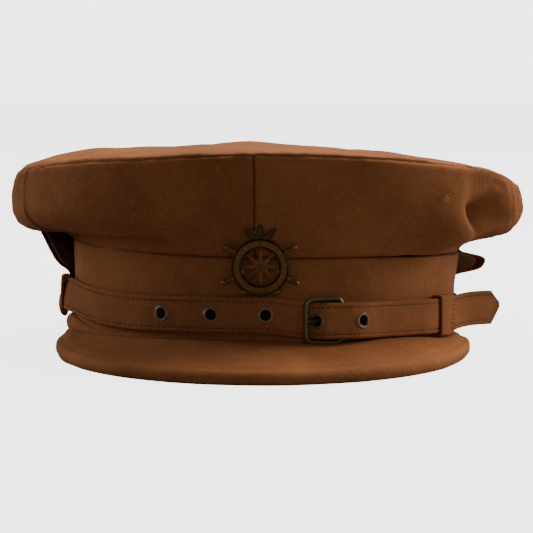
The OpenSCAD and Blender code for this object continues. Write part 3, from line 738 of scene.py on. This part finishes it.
def peak_cloth():
    """Upper cloth: from its seam on the band over the board, round the edge and back under."""
    f = -90 + 180 * clustered(150, 0.35)
    width = peak_width(f)[:, None]
    share = np.linspace(0, 1, 26)[None, :] ** 0.9
    turn = np.radians(np.linspace(90, -90, 15))[None, :]
    run = width - 2.2 * EDGE_R
    ff = f[:, None]
    a = ff * PEAK_END / 90
    top_d = share * run
    lift = seam_lift(a) * np.exp(-top_d / 7) - 0.7 * bump(top_d, 0, 0.8)
    swell = 0.5 * np.sin(math.pi * share) + 0.45 * bump(run - top_d, 3, 4)
    top_h = 2.2 + lift + swell
    arc_d = width - EDGE_R + EDGE_R * np.cos(turn)
    arc_h = (EDGE_R + 0.15) * np.sin(turn) + 0 * arc_d
    back_d = np.concatenate([width - EDGE_R - s for s in (1.0, 2.0)], 1)
    back_h = np.full_like(back_d, -2.35)
    distance = np.concatenate([top_d, arc_d, back_d], 1)
    height = np.concatenate([top_h, arc_h, back_h], 1)
    everywhere = np.broadcast_to(ff, distance.shape)
    p = close_ends(on_peak(everywhere, distance, height), on_peak(everywhere, distance, 0 * height))
    # The seam allowance runs in under the band
    edge_z = p[:, :1, 2] - 0.4
    tuck = polar(a, BAND_R - np.array([[4.2, 2.2, 0.4]]), edge_z)
    p = np.concatenate([tuck, p], 1)
    distance = np.concatenate([0 * tuck[..., 0], distance], 1)
    soft = 0.22 * rough(p, 22, 51, 2) + 0.1 * rough(p, 7, 52)
    pull = 0.3 * np.sin(a * 2.2 + 2 * rough(p, 30, 53)) * bump(distance, 1.5, 2.5)
    calm = ramp(0, 9, 90 - np.abs(ff))
    p = above_floor(p - normals(p) * ((soft + pull) * ramp(0, 2, distance) * calm)[..., None], 1.05)
    uv = np.stack([p[..., 0], lengths(p, 1)], -1)
    piece = Shape().grid(p, uv).make("peak_cloth", top_peak, "drill_cloth")
    thicken(piece, 1.0)
    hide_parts("peak_top")


def peak_lining():
    """Darker cloth under the board."""
    f = -90 + 180 * clustered(110, 0.3)
    width = peak_width(f)[:, None]
    share = np.linspace(0, 1, 22)[None, :]
    distance = 0.9 + share * (width - EDGE_R - 1.6 - 0.9)
    height = -2.15 - 0.35 * np.sin(math.pi * share) + 0.25 * bump(share, 1, 0.04) + 0 * distance
    ff = np.broadcast_to(f[:, None], distance.shape)
    p = close_ends(on_peak(ff, distance, height), on_peak(ff, distance, 0 * height))
    p[..., 2] += 0.15 * rough(p, 20, 55, 2)
    p = above_floor(p, 0.9)
    uv = np.stack([p[..., 0], lengths(p, 1)], -1)
    piece = Shape().grid(p, uv, flip=True).make("peak_lining", under_cloth, "dark_cloth")
    thicken(piece, 0.8)
    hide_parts("peak_under")


peak_cloth()
peak_lining()


def tube(centre, out, outline):
    """Sweep along centre (n, 3): an outline (m, 2) gives height and distance outwards."""
    return centre[:, None] + UPRIGHT * outline[None, :, :1] + out[:, None] * outline[None, :, 1:2]


def welt():
    """Corded edge between the band and the peak; it swells into a fold on the wearer's right."""
    a = np.linspace(WELT_FROM, WELT_TO, 260)
    fold = ramp(-52, -78, a)
    z = 1.15 + 0.7 * ramp(-55, -80, a) - 0.95 * bump(a, BUCKLE_A + 1, 9) - 0.55 * ramp(28, 50, a)
    z = z + 0.15 * rough(polar(a, BAND_R, 0), 9, 61) + 2.4 * fold
    half = 1.55 - 0.75 * ramp(6, 14, a) + 2.6 * fold
    thick = 0.75 + 1.9 * fold
    t = circle(14)
    up = np.sin(t) * half[:, None]
    out = (np.cos(t) + 0.35 * fold[:, None]) * thick[:, None]
    p = polar(a[:, None], BAND_R + 0.35 + out, z[:, None] + up)
    piece = Shape().grid(p, close_v=True, caps=True, flip=True)
    piece = piece.make("peak_welt_cord", strap_cloth, "drill_cloth")
    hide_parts("peak_welt")


welt()


# --- neck flap ---

FLAP_END_RIGHT = -101.0       # azimuths where the folded flap's ends lie
FLAP_END_LEFT = 103.0


def flap_surface(offset, shrink):
    """The flap from end to end round the back; the ends lean out and curl."""
    a = (FLAP_END_LEFT + shrink) + (360 - FLAP_END_LEFT + FLAP_END_RIGHT - 2 * shrink) * clustered(170, 0.6)
    t = np.linspace(0, 1, 64)
    from_left = (a - FLAP_END_LEFT)[:, None]
    from_right = (360 + FLAP_END_RIGHT - a)[:, None]
    near = ramp(26, 0, from_right)
    top = band_top(a)[:, None] + 0.5 + 3.5 * near
    top = top + 3 * ramp(70, 20, from_right) + 2.5 * ramp(20, 0, from_left)
    z = 5 + shrink * 0.3 + t[None, :] * (top - 5 - shrink * 0.6)
    ease = (1 - 0.8 * ramp(80, 10, from_left)) * (1 - near)
    out = 0.8 + offset + 6.0 * ease * t[None, :] ** 1.6 - 1.5 * bump(a[:, None], 180, 35) * t[None, :]
    out = out + near * (12 * np.clip((z - 27) / 25, 0, 1) + 2.6 * ramp(22, 26, z))
    tongue = 12.5 * np.exp(-((z - 33) / 4.3) ** 4) + 4.5 * bump(z, 36, 6)
    out = out + ramp(13, 0, from_left) * (0.6 + tongue + 2 * bump(z, 5, 8))
    a = a[:, None] + 15 * ramp(28, 37, z) * ramp(30, 0, from_right)
    p = polar(a, BAND_R + out, z)
    return p + polar(a, 1.0, 0 * z) * (0.7 * rough(p, 22, 71, 2) * ramp(2, 14, z - 3))[..., None]


def neck_flap():
    """The flap's cloth, and inside it the lining, set back from the flap's edges."""
    # The lining's pale colour is painted light on the flap's shaded inside.
    for name, node, offset, shrink, material, slot in (
            ("neck_flap_cloth", "neck_flap", 1.5, 0.0, drill, "drill_cloth"),
            ("neck_flap_lining_cloth", "neck_flap_lining", 0.0, 2.4, flap_lining_painted_light, "dark_cloth")):
        p = flap_surface(offset, shrink)
        uv = np.stack([lengths(p, 0), lengths(p, 1)], -1)
        piece = Shape().grid(p, uv).make(name, material, slot)
        thicken(piece, 0.8, 1.0)
        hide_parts(node)


neck_flap()


# --- straps ---


def keeper_room(a):
    """1 where the strap is lifted to make room for the keeper."""
    return ramp(46, 54, a) - ramp(72, 80, a)


def strap_r(a):
    """Radius of the long strap's middle; it stands off at its start and over the buckle's bar."""
    return (STRAP_R0 + 3.1 * (1 - ramp(-84, -70, a)) + 6.6 * ramp(12.8, 17.6, a)
            - 4.8 * ramp(24, 38, a) + 1.3 * keeper_room(a))


def strap_z(a):
    """Height of the long strap's middle."""
    return (STRAP_FRONT_Z + (BUCKLE_Z - STRAP_FRONT_Z) * ramp(0, 15, a)
            + (19 - STRAP_FRONT_Z) * (1 - ramp(-85, -35, a)))


def strap_line():
    """Middle line of the long strap: points, and the outward direction at each."""
    a = np.concatenate([np.linspace(STRAP_FROM, 8, 200), np.linspace(8.3, 40, 130),
                        np.linspace(40.5, TIP_A, 50)])
    p = polar(a, strap_r(a), strap_z(a))
    base = polar(TIP_A, strap_r(TIP_A), BUCKLE_Z)
    out = polar(TIP_A, 1.0, 0.0)
    centre = base + TIP_BEND * out
    turn = np.linspace(0, TIP_TURN, 26)[1:]
    arc = centre - TIP_BEND * polar(TIP_A - turn, 1.0, 0.0)
    end_a = math.radians(TIP_A - TIP_TURN)
    along = np.array([math.cos(end_a), math.sin(end_a), 0.0])
    straight = arc[-1] + along * np.linspace(0, TIP_STRAIGHT + TIP_POINT, 24)[1:, None]
    line = np.concatenate([p, arc, straight])
    head = np.gradient(line, axis=0)
    head[:, 2] = 0
    head /= np.linalg.norm(head, axis=-1, keepdims=True)
    out = np.stack([head[:, 1], -head[:, 0], 0 * head[:, 0]], -1)
    return line, out


def rise(left):
    """The free end lifts a little, by the length left to its tip."""
    return 0.5 * ramp(64, 30, left) * np.sin(left / 22) + 2.0 * ramp(42, 2, left)


def strap_wave(arc):
    """The long strap's slight waviness up and down along its length."""
    return 0.25 * rough(np.stack([arc, 0 * arc, 0 * arc], -1), 26, 82)


STRAP_OUTLINE = 48


def strap_section(half, thickness):
    """Cross-section of a hemmed cloth strap: (height, outwards), with sewn-down edges."""
    m = STRAP_OUTLINE // 2
    s = np.linspace(-1, 1, m)
    s = np.sign(s) * (1 - (1 - np.abs(s)) ** 1.25)
    height = s * half
    inside = half - np.abs(height)
    face = thickness / 2 * (1 - bump(inside, 0, 0.55) * 0.75)
    face = face + 0.2 * bump(inside, 1.1, 0.7) + 0.06 * bump(inside, 4, 1.6)
    face = face - 0.42 * bump(inside, HEM_IN, 0.45)
    back = thickness / 2 * (1 - bump(inside, 0, 0.55) * 0.75)
    return np.concatenate([np.stack([height, face], -1), np.stack([height, -back], -1)[::-1]])


def cut_holes(piece, centres, outs, radius, depth):
    """Cuts round holes through a piece, and leaves a plain mesh."""
    cutters = []
    for c, o in zip(centres, outs):
        o = o / np.linalg.norm(o)
        side = np.cross(UPRIGHT, o)
        up = np.cross(o, side)
        t = circle(28)
        ring = np.cos(t)[:, None] * side + np.sin(t)[:, None] * up
        p = np.stack([c + ring * radius - o * depth, c + ring * radius + o * depth])
        cut = Shape().grid(p, close_v=True, caps=True, flip=True)
        mesh = bpy.data.meshes.new("cutter")
        mesh.from_pydata(place(np.concatenate(cut.points)).tolist(), [], cut.faces)
        ob = link("cutter", mesh)
        cutters.append(ob)
        mod = piece.modifiers.new("hole", "BOOLEAN")
        mod.operation = "DIFFERENCE"
        mod.solver = "EXACT"
        mod.object = ob
    bpy.context.view_layer.update()
    result = bpy.data.meshes.new_from_object(piece.evaluated_get(bpy.context.evaluated_depsgraph_get()))
    piece.modifiers.clear()
    old = piece.data
    piece.data = result
    result.name = old.name
    bpy.data.meshes.remove(old)
    for ob in cutters:
        bpy.data.meshes.remove(ob.data)


def strap_slope(a):
    """Angle in degrees at which the long strap leaves the band's circle at azimuth a."""
    run = 0.4 * math.pi / 180 * strap_r(a)
    return math.degrees(math.atan((strap_r(a + 0.2) - strap_r(a - 0.2)) / run))


def strap_long():
    """The buckled strap with its pointed free tip and its eyelet holes."""
    line, out = strap_line()
    section = strap_section(STRAP_W / 2, STRAP_T)
    p = tube(line, out, section)
    # The free end is cut to a point above its middle
    arc = along_line(line)
    left = arc[-1] - arc
    narrow = 0.86 * np.clip(1 - left / TIP_POINT, 0, 1)[:, None]
    p[..., 2] = p[..., 2] * (1 - narrow) + (BUCKLE_Z + 1.6) * narrow
    p = p + out[:, None] * (0.16 * rough(p, 14, 81, 2))[..., None]
    p[..., 2] += strap_wave(arc)[:, None]
    p[..., 2] += rise(left)[:, None]
    bulge = 2.6 * ramp(26, 2, arc)[:, None] * ramp(-1, 7, p[..., 2] - line[:, None, 2])
    p = p + out[:, None] * bulge[..., None]
    ends = np.stack([np.broadcast_to(arc[:, None], p.shape[:2]),
                     np.broadcast_to(lengths(section[None], 1), p.shape[:2])], -1)
    uv = np.concatenate([ends, ends[:, :1] + [0, 2 * STRAP_W + 3]], 1)
    piece = Shape().grid(p, uv, close_v=True, caps=True)
    piece = piece.make("strap_long_cloth", strap_cloth, "worsted_cloth")
    centres = [polar(a, strap_r(a), strap_z(a)) for a in EYELETS]
    outs = [polar(a - strap_slope(a), 1.0, 0.0) for a in EYELETS]
    cut_holes(piece, centres, outs, EYELET_HOLE, 4.0)
    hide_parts("strap_long")
    return line, out, arc


def strap_short():
    """The strap that holds the buckle, folded round the buckle's hinge bar."""
    a = np.linspace(BUCKLE_A + 5.2, BUTTON_A + 5, 140)
    r = STRAP_R0 + 1.2 * keeper_room(a)
    line = polar(a, r, BUCKLE_Z)
    out = polar(a, 1.0, 0 * a)
    p = tube(line, out, strap_section(STRAP_W / 2 - 0.1, STRAP_T - 0.1))
    shape = Shape().grid(p, close_v=True, caps=True)
    c, s = math.cos(math.radians(BUCKLE_A)), math.sin(math.radians(BUCKLE_A))
    bar = np.array([BAR_HALF * c + BAR_W * s, BAR_HALF * s - BAR_W * c, BUCKLE_Z])
    t = circle(24)
    for low, high in ((-STRAP_W / 2 + 0.2, -1.35), (1.35, STRAP_W / 2 - 0.2)):
        rings = []
        for r0, z in ((WIRE_R + 0.2, low), (WIRE_R + 1.35, low), (WIRE_R + 1.35, high), (WIRE_R + 0.2, high)):
            rings.append(bar + np.stack([r0 * np.cos(t), r0 * np.sin(t), 0 * t + z], -1))
        loop = np.stack(rings, 1)
        shape.grid(loop, close_u=True, close_v=True)
    piece = shape.make("strap_short_cloth", strap_cloth, "worsted_cloth")
    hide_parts("strap_short")
    float(lengths(line[None], 1)[0, -1] + 12) / 1000


KEEPER_R = strap_r(KEEPER_A) + STRAP_T / 2 + 0.25 + KEEPER_T


def loop_band(a_mid, half_a, r_in, r_out, half_z, z_mid, t, bulge, seed, slant=0.0):
    """A flat cloth loop round a strap, seen as a closed band of rounded section."""
    path_r, path_z = [], []
    mid_r, half_r = (r_in + r_out) / 2, (r_out - r_in) / 2 - t / 2
    hz = half_z - t / 2
    corner = min(1.0, half_r * 0.8)
    for cr, cz, start in ((half_r - corner, hz - corner, 0), (corner - half_r, hz - corner, 90),
                          (corner - half_r, corner - hz, 180), (half_r - corner, corner - hz, 270)):
        for ang in np.radians(np.linspace(start, start + 90, 7)):
            path_r.append(cr + corner * math.cos(ang))
            path_z.append(cz + corner * math.sin(ang))
    path = np.stack([path_r, path_z], -1)
    fine = []
    for i in range(len(path)):
        q = path[(i + 1) % len(path)]
        steps = max(1, int(np.linalg.norm(q - path[i]) / 0.9))
        fine += [path[i] + (q - path[i]) * k / steps for k in range(steps)]
    path = np.array(fine)
    head = np.roll(path, -1, 0) - np.roll(path, 1, 0)
    head /= np.linalg.norm(head, axis=-1, keepdims=True)
    out = np.stack([head[:, 1], -head[:, 0]], -1)
    s = np.linspace(-1, 1, 26)
    edge = (1 - np.abs(s)) * math.radians(half_a) * r_out
    face = t / 2 * (1 - 0.7 * bump(edge, 0, 0.5)) + 0.1 * bump(edge, 1.0, 0.6) - 0.16 * bump(edge, 2.0, 0.35)
    loop = np.concatenate([np.stack([s, face], -1), np.stack([s, -face], -1)[::-1]])
    a = a_mid + half_a * loop[:, 0]
    rr = mid_r + path[:, None, 0] + out[:, None, 0] * loop[None, :, 1]
    zz = z_mid + path[:, None, 1] + out[:, None, 1] * loop[None, :, 1]
    rr = rr + bulge * np.clip(path[:, None, 0] / half_r, 0, 1) * (1 - loop[None, :, 0] ** 2)
    a = a[None, :] + slant * (zz - z_mid) / half_z
    p = polar(a, rr, zz)
    return p + polar(a, 1.0, 0 * zz) * (0.12 * rough(p, 9, seed))[..., None]


def keepers():
    """The sliding keeper by the buckle, and the narrow one at the strap's other end."""
    p = loop_band(KEEPER_A, KEEPER_HALF_A, BAND_R + 0.3, KEEPER_R,
                  STRAP_W / 2 + 1.5, BUCKLE_Z, KEEPER_T, 0.35, 83)
    piece = Shape().grid(p, close_u=True, close_v=True)
    piece = piece.make("strap_keeper_cloth", strap_cloth, "worsted_cloth", "keeper")
    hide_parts("strap_keeper")
    r_mid = float(strap_r(SIDE_KEEPER_A))
    half = math.degrees(2.6 / r_mid)
    p = loop_band(SIDE_KEEPER_A + SIDE_KEEPER_SHIFT, half,
                  r_mid - STRAP_T / 2 - 1.4, r_mid + STRAP_T / 2 + 1.5,
                  STRAP_W / 2 + 1.5, float(strap_z(SIDE_KEEPER_A)), 1.45, 0.0, 84, 4.5)
    piece = Shape().grid(p, close_u=True, close_v=True)
    piece = piece.make("side_keeper_cloth", strap_cloth, "worsted_cloth")
    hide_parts("side_keeper")


def eyelet_hole_shade():
    """Near-black discs just inside the eyelet holes: painted shade of the holes."""
    shape = Shape()
    t = circle(24)
    for a in EYELETS:
        r = float(strap_r(a)) - STRAP_T / 2 - 0.12
        middle, out = polar(a, r, float(strap_z(a))), polar(a, 1.0, 0.0)
        side = np.cross(UPRIGHT, out)
        ring = (np.cos(t)[:, None] * side + np.sin(t)[:, None] * UPRIGHT) * 2.6
        p = np.stack([middle + ring - out * 0.06, middle + ring + out * 0.06])
        shape.grid(p, close_v=True, caps=True, flip=True)
    shape.make("eyelet_hole_shade", dark_cloth, "dark_cloth")


STRAP_LINE, STRAP_OUT, STRAP_ARC = strap_long()
# Painted shade inside the eyelet holes.
eyelet_hole_shade()
strap_short()
keepers()


# --- stitches ---


def stitch_row(shape, line, out, pitch, length, radius, lift, skip=()):
    """Short threads along a line, each sunk at both ends."""
    arc = along_line(line)
    t = circle(6)
    for start in np.arange(pitch / 2, arc[-1] - pitch, pitch):
        s = start + np.linspace(0, length, 6)
        p = np.stack([np.interp(s, arc, line[:, i]) for i in range(3)], -1)
        o = np.stack([np.interp(s, arc, out[:, i]) for i in range(3)], -1)
        o /= np.linalg.norm(o, axis=-1, keepdims=True)
        if any(np.linalg.norm(p[2] - c) < d for c, d in skip):
            continue
        rise = lift - 0.55 * radius * 2 * (np.linspace(-1, 1, 6) ** 2)
        p = p + o * rise[:, None]
        head = np.gradient(p, axis=0)
        head /= np.linalg.norm(head, axis=-1, keepdims=True)
        side = np.cross(head, o)
        taper = np.array([0.45, 0.9, 1, 1, 0.9, 0.45]) * radius
        ring = (side[:, None] * np.cos(t)[None, :, None] + o[:, None] * np.sin(t)[None, :, None])
        shape.grid(p[:, None] + ring * taper[:, None, None], close_v=True, caps=True)


def strap_stitches():
    """Two rows along the long strap, in its seams' grooves."""
    shape = Shape()
    for z in (HEM_IN - STRAP_W / 2, STRAP_W / 2 - HEM_IN):
        line = STRAP_LINE[4:-8] + [0, 0, z] + STRAP_OUT[4:-8] * (STRAP_T / 2 - 0.24)
        line[:, 2] += (strap_wave(STRAP_ARC) + rise(STRAP_ARC[-1] - STRAP_ARC))[4:-8]
        stitch_row(shape, line, STRAP_OUT[4:-8], 2.7, 2.0, 0.22, 0.1)
    shape.make("strap_stitches", thread, "worsted_cloth")


def seam_stitches():
    """Uneven hand stitches where the peak's cloth is sewn to the band."""
    shape = Shape()
    f = np.linspace(-86, 60, 400)
    a = f * PEAK_END / 90
    p = on_peak(f, 0 * f + 0.7, 2.2 + seam_lift(a) * math.exp(-0.1) - 0.5)
    p[:, 2] += 0.25 * rough(p, 6, 91)
    out = polar(a, 0.4, 0 * a + 0.9)
    stitch_row(shape, p, out, 4.4, 3.1, 0.26, 0.35)
    shape.make("peak_stitches", thread, "drill_cloth")


def keeper_stitches():
    """Two rows up the front of the sliding keeper."""
    shape = Shape()
    for share in (0.35, 0.78):
        a = KEEPER_A + KEEPER_HALF_A * share
        z = np.linspace(BUCKLE_Z - 8.6, BUCKLE_Z + 8.6, 40)
        line = polar(a + 0 * z, KEEPER_R - 0.05 + 0.35 * (1 - share ** 2), z)
        stitch_row(shape, line, polar(a + 0 * z, 1.0, 0 * z), 2.3, 1.7, 0.2, 0.08)
    shape.make("keeper_stitches", thread, "worsted_cloth", "keeper")


strap_stitches()
seam_stitches()
keeper_stitches()


# --- badge ---

LEAN = math.radians(90 + BADGE_LEAN)


def on_badge(p):
    """Badge frame (x, up the face, out of the face) to the cap frame."""
    x, y, z = p[..., 0], p[..., 1], p[..., 2]
    return np.stack([x, -BADGE_BACK + y * math.cos(LEAN) - z * math.sin(LEAN),
                     BADGE_Z + y * math.sin(LEAN) + z * math.cos(LEAN)], -1)


def revolve(shape, profile, steps=96):
    """Ring with the given (radius, height) profile."""
    t = circle(steps)
    q = np.array(profile, float)
    p = np.stack([np.cos(t)[:, None] * q[None, :, 0], np.sin(t)[:, None] * q[None, :, 0],
                  0 * t[:, None] + q[None, :, 1]], -1)
    shape.grid(on_badge(p), close_u=True, close_v=True)


def bead(shape, x, y, z, r, steps=8):
    """Half ball on the badge's face."""
    t = circle(steps)
    h = np.radians(np.linspace(0, 88, 4))
    p = np.stack([x + r * np.cos(h)[None, :] * np.cos(t)[:, None],
                  y + r * np.cos(h)[None, :] * np.sin(t)[:, None],
                  z + r * np.sin(h)[None, :] + 0 * t[:, None]], -1)
    shape.grid(on_badge(p), close_u=True)
    base = shape.count - p.shape[0] * p.shape[1]
    m = p.shape[1]
    shape.faces.append([base + i * m + m - 1 for i in range(steps)])
    shape.uvs.append([(0, 0)] * steps)
    shape.faces.append([base + i * m for i in range(steps)][::-1])
    shape.uvs.append([(0, 0)] * steps)


def leaf(shape, turn, root, length, width):
    """A veined leaf, raised along its midrib."""
    s = np.linspace(0, 1, 20)
    half = width / 2 * np.sin(math.pi * s ** 0.8) ** 0.9 + 0.12
    w = np.linspace(-1, 1, 11)
    x = half[:, None] * w[None, :]
    y = root + length * s[:, None] + 0 * x
    veins = 0.1 * np.sin(s[:, None] * 34 - np.abs(w[None, :]) * 5)
    ridge = (1 - np.abs(w[None, :])) ** 0.8 * np.sin(math.pi * np.clip(s[:, None], 0.05, 0.97))
    z = 0.55 + 0.75 * ridge + veins
    top = np.stack([x, y, z], -1)
    low = np.stack([x, y, 0 * z + 0.1], -1)
    ring = np.concatenate([top, low[:, ::-1]], 1)
    c, si = math.cos(turn), math.sin(turn)
    out = ring.copy()
    out[..., 0] = ring[..., 0] * c - (ring[..., 1] - root) * si
    out[..., 1] = root + ring[..., 0] * si + (ring[..., 1] - root) * c
    shape.grid(on_badge(out), close_v=True, caps=True, flip=True)


def bar(shape, start, end, width, height, rows=8):
    """A straight bar with a rounded back, from start to end in the badge's plane."""
    start, end = np.array(start, float), np.array(end, float)
    head = (end - start) / np.linalg.norm(end - start)
    side = np.array([-head[1], head[0]])
    s = np.linspace(0, 1, rows)
    t = np.radians(np.linspace(0, 180, 9))
    taper = np.where((s == 0) | (s == 1), 0.72, 1.0)
    x = np.cos(t) * width / 2
    z = 0.1 + np.sin(t) ** 0.7 * height
    p = np.zeros((rows, len(t), 3))
    p[..., :2] = (start + (end - start) * s[:, None])[:, None]
    p[..., :2] += side * (x[None, :] * taper[:, None])[..., None]
    p[..., 2] = z[None, :] * taper[:, None]
    shape.grid(on_badge(p), close_v=True, caps=True, flip=True)


def badge():
    """Pierced plate: beaded ring, star, four handles, three leaves and a bar."""
    shape = Shape()
    r0, r1 = BADGE_BORE, BADGE_R
    revolve(shape, [(r0, 0), (r0, 0.9), (r0 + 0.3, 1.5), (r0 + 0.8, 1.55), (r0 + 1.1, 1.05), (r1 - 1.1, 1.05),
                    (r1 - 0.85, 1.6), (r1 - 0.3, 1.6), (r1, 1.0), (r1, 0)])
    middle = (r0 + r1) / 2
    for t in np.radians(np.arange(0, 360, 15)):
        bead(shape, middle * math.cos(t), middle * math.sin(t), 1.0, 0.62)
    # Eight-pointed star with ridged arms and a boss
    for i in range(8):
        t = math.radians(45 * i)
        reach = r0 + 0.5
        tip = np.array([math.sin(t) * reach, math.cos(t) * reach])
        sides = [np.array([math.sin(t + d) * 3.4, math.cos(t + d) * 3.4])
                 for d in (math.radians(-22.5), math.radians(22.5))]
        pts = np.array([[0, 0, 1.75], [*sides[0], 0.75], [*tip, 0.85], [*sides[1], 0.75]])
        low = pts * [1, 1, 0] + [0, 0, 0.1]
        base = shape.count
        shape.points.append(on_badge(np.concatenate([pts, low])))
        shape.count += 8
        for face in ((0, 2, 1), (0, 3, 2), (1, 2, 6, 5), (2, 3, 7, 6),
                     (3, 0, 4, 7), (0, 1, 5, 4), (4, 5, 6), (4, 6, 7)):
            shape.faces.append([base + k for k in face])
            shape.uvs.append([(0, 0)] * len(face))
    bead(shape, 0, 0, 1.3, 1.5, 16)
    for deg in (-59, 59, -113, 113):
        t = math.radians(deg)
        d = np.array([-math.sin(t), math.cos(t)])
        bar(shape, d * (BADGE_R - 0.6), d * (BADGE_R + 6), 2.5, 1.3)
        bead(shape, *(d * (BADGE_R + 4.9)), 0.7, 1.5)
    for deg in (-48, 48, 0):
        leaf(shape, math.radians(deg), BADGE_R - 2, 10, 5)
    bar(shape, (-10, 1.65 - BADGE_R), (10, 1.65 - BADGE_R), 2.7, 1.3)
    piece = shape.make("badge_relief", bronze, "dark_bronze", smooth=False)
    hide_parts("badge_plate")


badge()


# --- loose threads ---


SNAG_A = np.array([47.0])     # azimuth, and share of the way up the crown's side
SNAG_SHARE = np.array([0.68])


def strand(shape, line, out, radius):
    """A thread along a line that runs across the direction out."""
    t = circle(6)
    ring = out * np.cos(t)[:, None] + UPRIGHT * np.sin(t)[:, None]
    shape.grid(line[:, None] + ring[None] * radius, close_v=True, caps=True)


def snag():
    """A pulled thread on the crown, and a slack stitch at the seam over the band."""
    shape = Shape()
    root = side_surface(SNAG_A, SNAG_SHARE)[0, 0]
    out = root * [1, 1, 0] / np.linalg.norm(root[:2])
    side = np.cross(UPRIGHT, out)
    s = np.linspace(0, 1, 14)[:, None]
    for length, climb, bow in ((5, 1.2, 1.3), (4, -1.6, 1.0), (2.5, 2.4, 0.9)):
        line = root + side * (s - 0.5) * length + UPRIGHT * climb * s
        line = line + out * (1.2 + bow * np.sin(math.pi * s))
        strand(shape, line, out, 0.22)
    shape.make("crown_snag", orange_thread, "drill_cloth")
    stitch = Shape()
    a = np.linspace(-50.5, -47, 8)
    strand(stitch, polar(a, BAND_R + 1.9, band_top(a) + 0.3), polar(np.array(-48.7), 1.0, 0.0), 0.17)
    stitch.make("slack_stitch", pale_thread, "drill_cloth")


snag()


# --- CAD nodes that stay ---


def finish_node(node, material):
    """Give a CAD node that stays in view its material."""
    NODES[node].data.materials.clear()
    NODES[node].data.materials.append(material)


for i in range(len(EYELETS)):
    finish_node(f"eyelet_{i + 1}", eyelet_metal)
for nodes, material in ((("buckle_frame", "buckle_prong", "badge_lugs", "badge_pin"), brass),
                        (("button_pin_left", "button_pin_right"), brass),
                        (("side_button_left", "side_button_right"), bronze),
                        (("band_stiffener",), buckram),
                        (("peak_board",), board),
                        (("sweatband_reed",), sweat_leather)):
    for node in nodes:
        finish_node(node, material)


# --- camera, light and floor ---

CAMERA_AZIMUTH = 0.9
CAMERA_ELEVATION = 6.3
CAMERA_DISTANCE = 1.2
CAMERA_AIM = (-0.0007, 0.0, 0.0387)
LENS = 158.8
PALE = 3.85                   # brightness of the sweep behind the object
FLOOR_LIGHT = 0.5            # what the lights alone give the floor
WORLD_LIGHT = 0.12            # light that reaches the object from all round


def camera():
    """Long lens from the front, a little above."""
    data = bpy.data.cameras.new("camera")
    data.lens = LENS
    data.sensor_width = 36.0
    data.clip_start = 0.01
    ob = link("camera", data)
    a, e = math.radians(CAMERA_AZIMUTH), math.radians(CAMERA_ELEVATION)
    away = Vector((math.sin(a) * math.cos(e), -math.cos(a) * math.cos(e), math.sin(e)))
    aim = Vector(CAMERA_AIM)
    ob.location = aim + away * CAMERA_DISTANCE
    ob.rotation_euler = (aim - ob.location).to_track_quat("-Z", "Y").to_euler()
    bpy.context.scene.camera = ob


def area_light(name, location, aim, size, power, color=(1, 1, 1)):
    """Rectangular light turned towards a point."""
    data = bpy.data.lights.new(name, "AREA")
    data.shape = "RECTANGLE"
    data.size, data.size_y = size
    data.energy = power
    data.color = color
    ob = link(name, data)
    ob.location = location
    ob.rotation_euler = (Vector(aim) - Vector(location)).to_track_quat("-Z", "Y").to_euler()


def studio():
    """Soft light from above and both sides on a pale sweep that hardly lights the object."""
    middle = (0, 0, 0.05)
    area_light("top", (0.3, 0.4, 1.1), middle, (0.9, 0.7), 25.0, (1, 0.98, 0.96))
    area_light("right", (1.12, 0.27, 0.46), middle, (0.5, 0.6), 12.0, (1, 0.97, 0.92))
    area_light("left", (-1.1, 0.42, 0.4), middle, (0.5, 0.6), 8.0, (1, 0.96, 0.9))
    area_light("front", (0.0, -1.4, 0.5), middle, (0.7, 0.5), 1.35)
    world = bpy.data.worlds.new("studio")
    bpy.context.scene.world = world
    world.use_nodes = True
    tree = world.node_tree
    back = tree.nodes["Background"]
    back.inputs["Color"].default_value = (1, 1, 1, 1)
    path = tree.nodes.new("ShaderNodeLightPath")
    level = tree.nodes.new("ShaderNodeMapRange")
    level.inputs["To Min"].default_value = WORLD_LIGHT
    level.inputs["To Max"].default_value = PALE
    tree.links.new(path.outputs["Is Camera Ray"], level.inputs["Value"])
    tree.links.new(level.outputs["Result"], back.inputs["Strength"])
    mesh = bpy.data.meshes.new("floor")
    mesh.from_pydata([(-3, -3, 0), (3, -3, 0), (3, 3, 0), (-3, 3, 0)], [], [(0, 1, 2, 3)])
    floor = link("floor", mesh)
    n = Nodes("floor")
    path = n.add("ShaderNodeLightPath").outputs["Is Camera Ray"]
    n.feed(n.shader.inputs["Emission Color"], (1.0, 1.0, 1.0, 1.0))
    n.feed(n.shader.inputs["Emission Strength"], n.math("MULTIPLY", path, PALE - FLOOR_LIGHT))
    grain = n.noise(n.place(), 3.0)
    mesh.materials.append(n.set(color=n.mix(grain, (0.26, 0.26, 0.26), (0.27, 0.27, 0.27)),
                                roughness=1.0, specular=0.0))


camera()
studio()
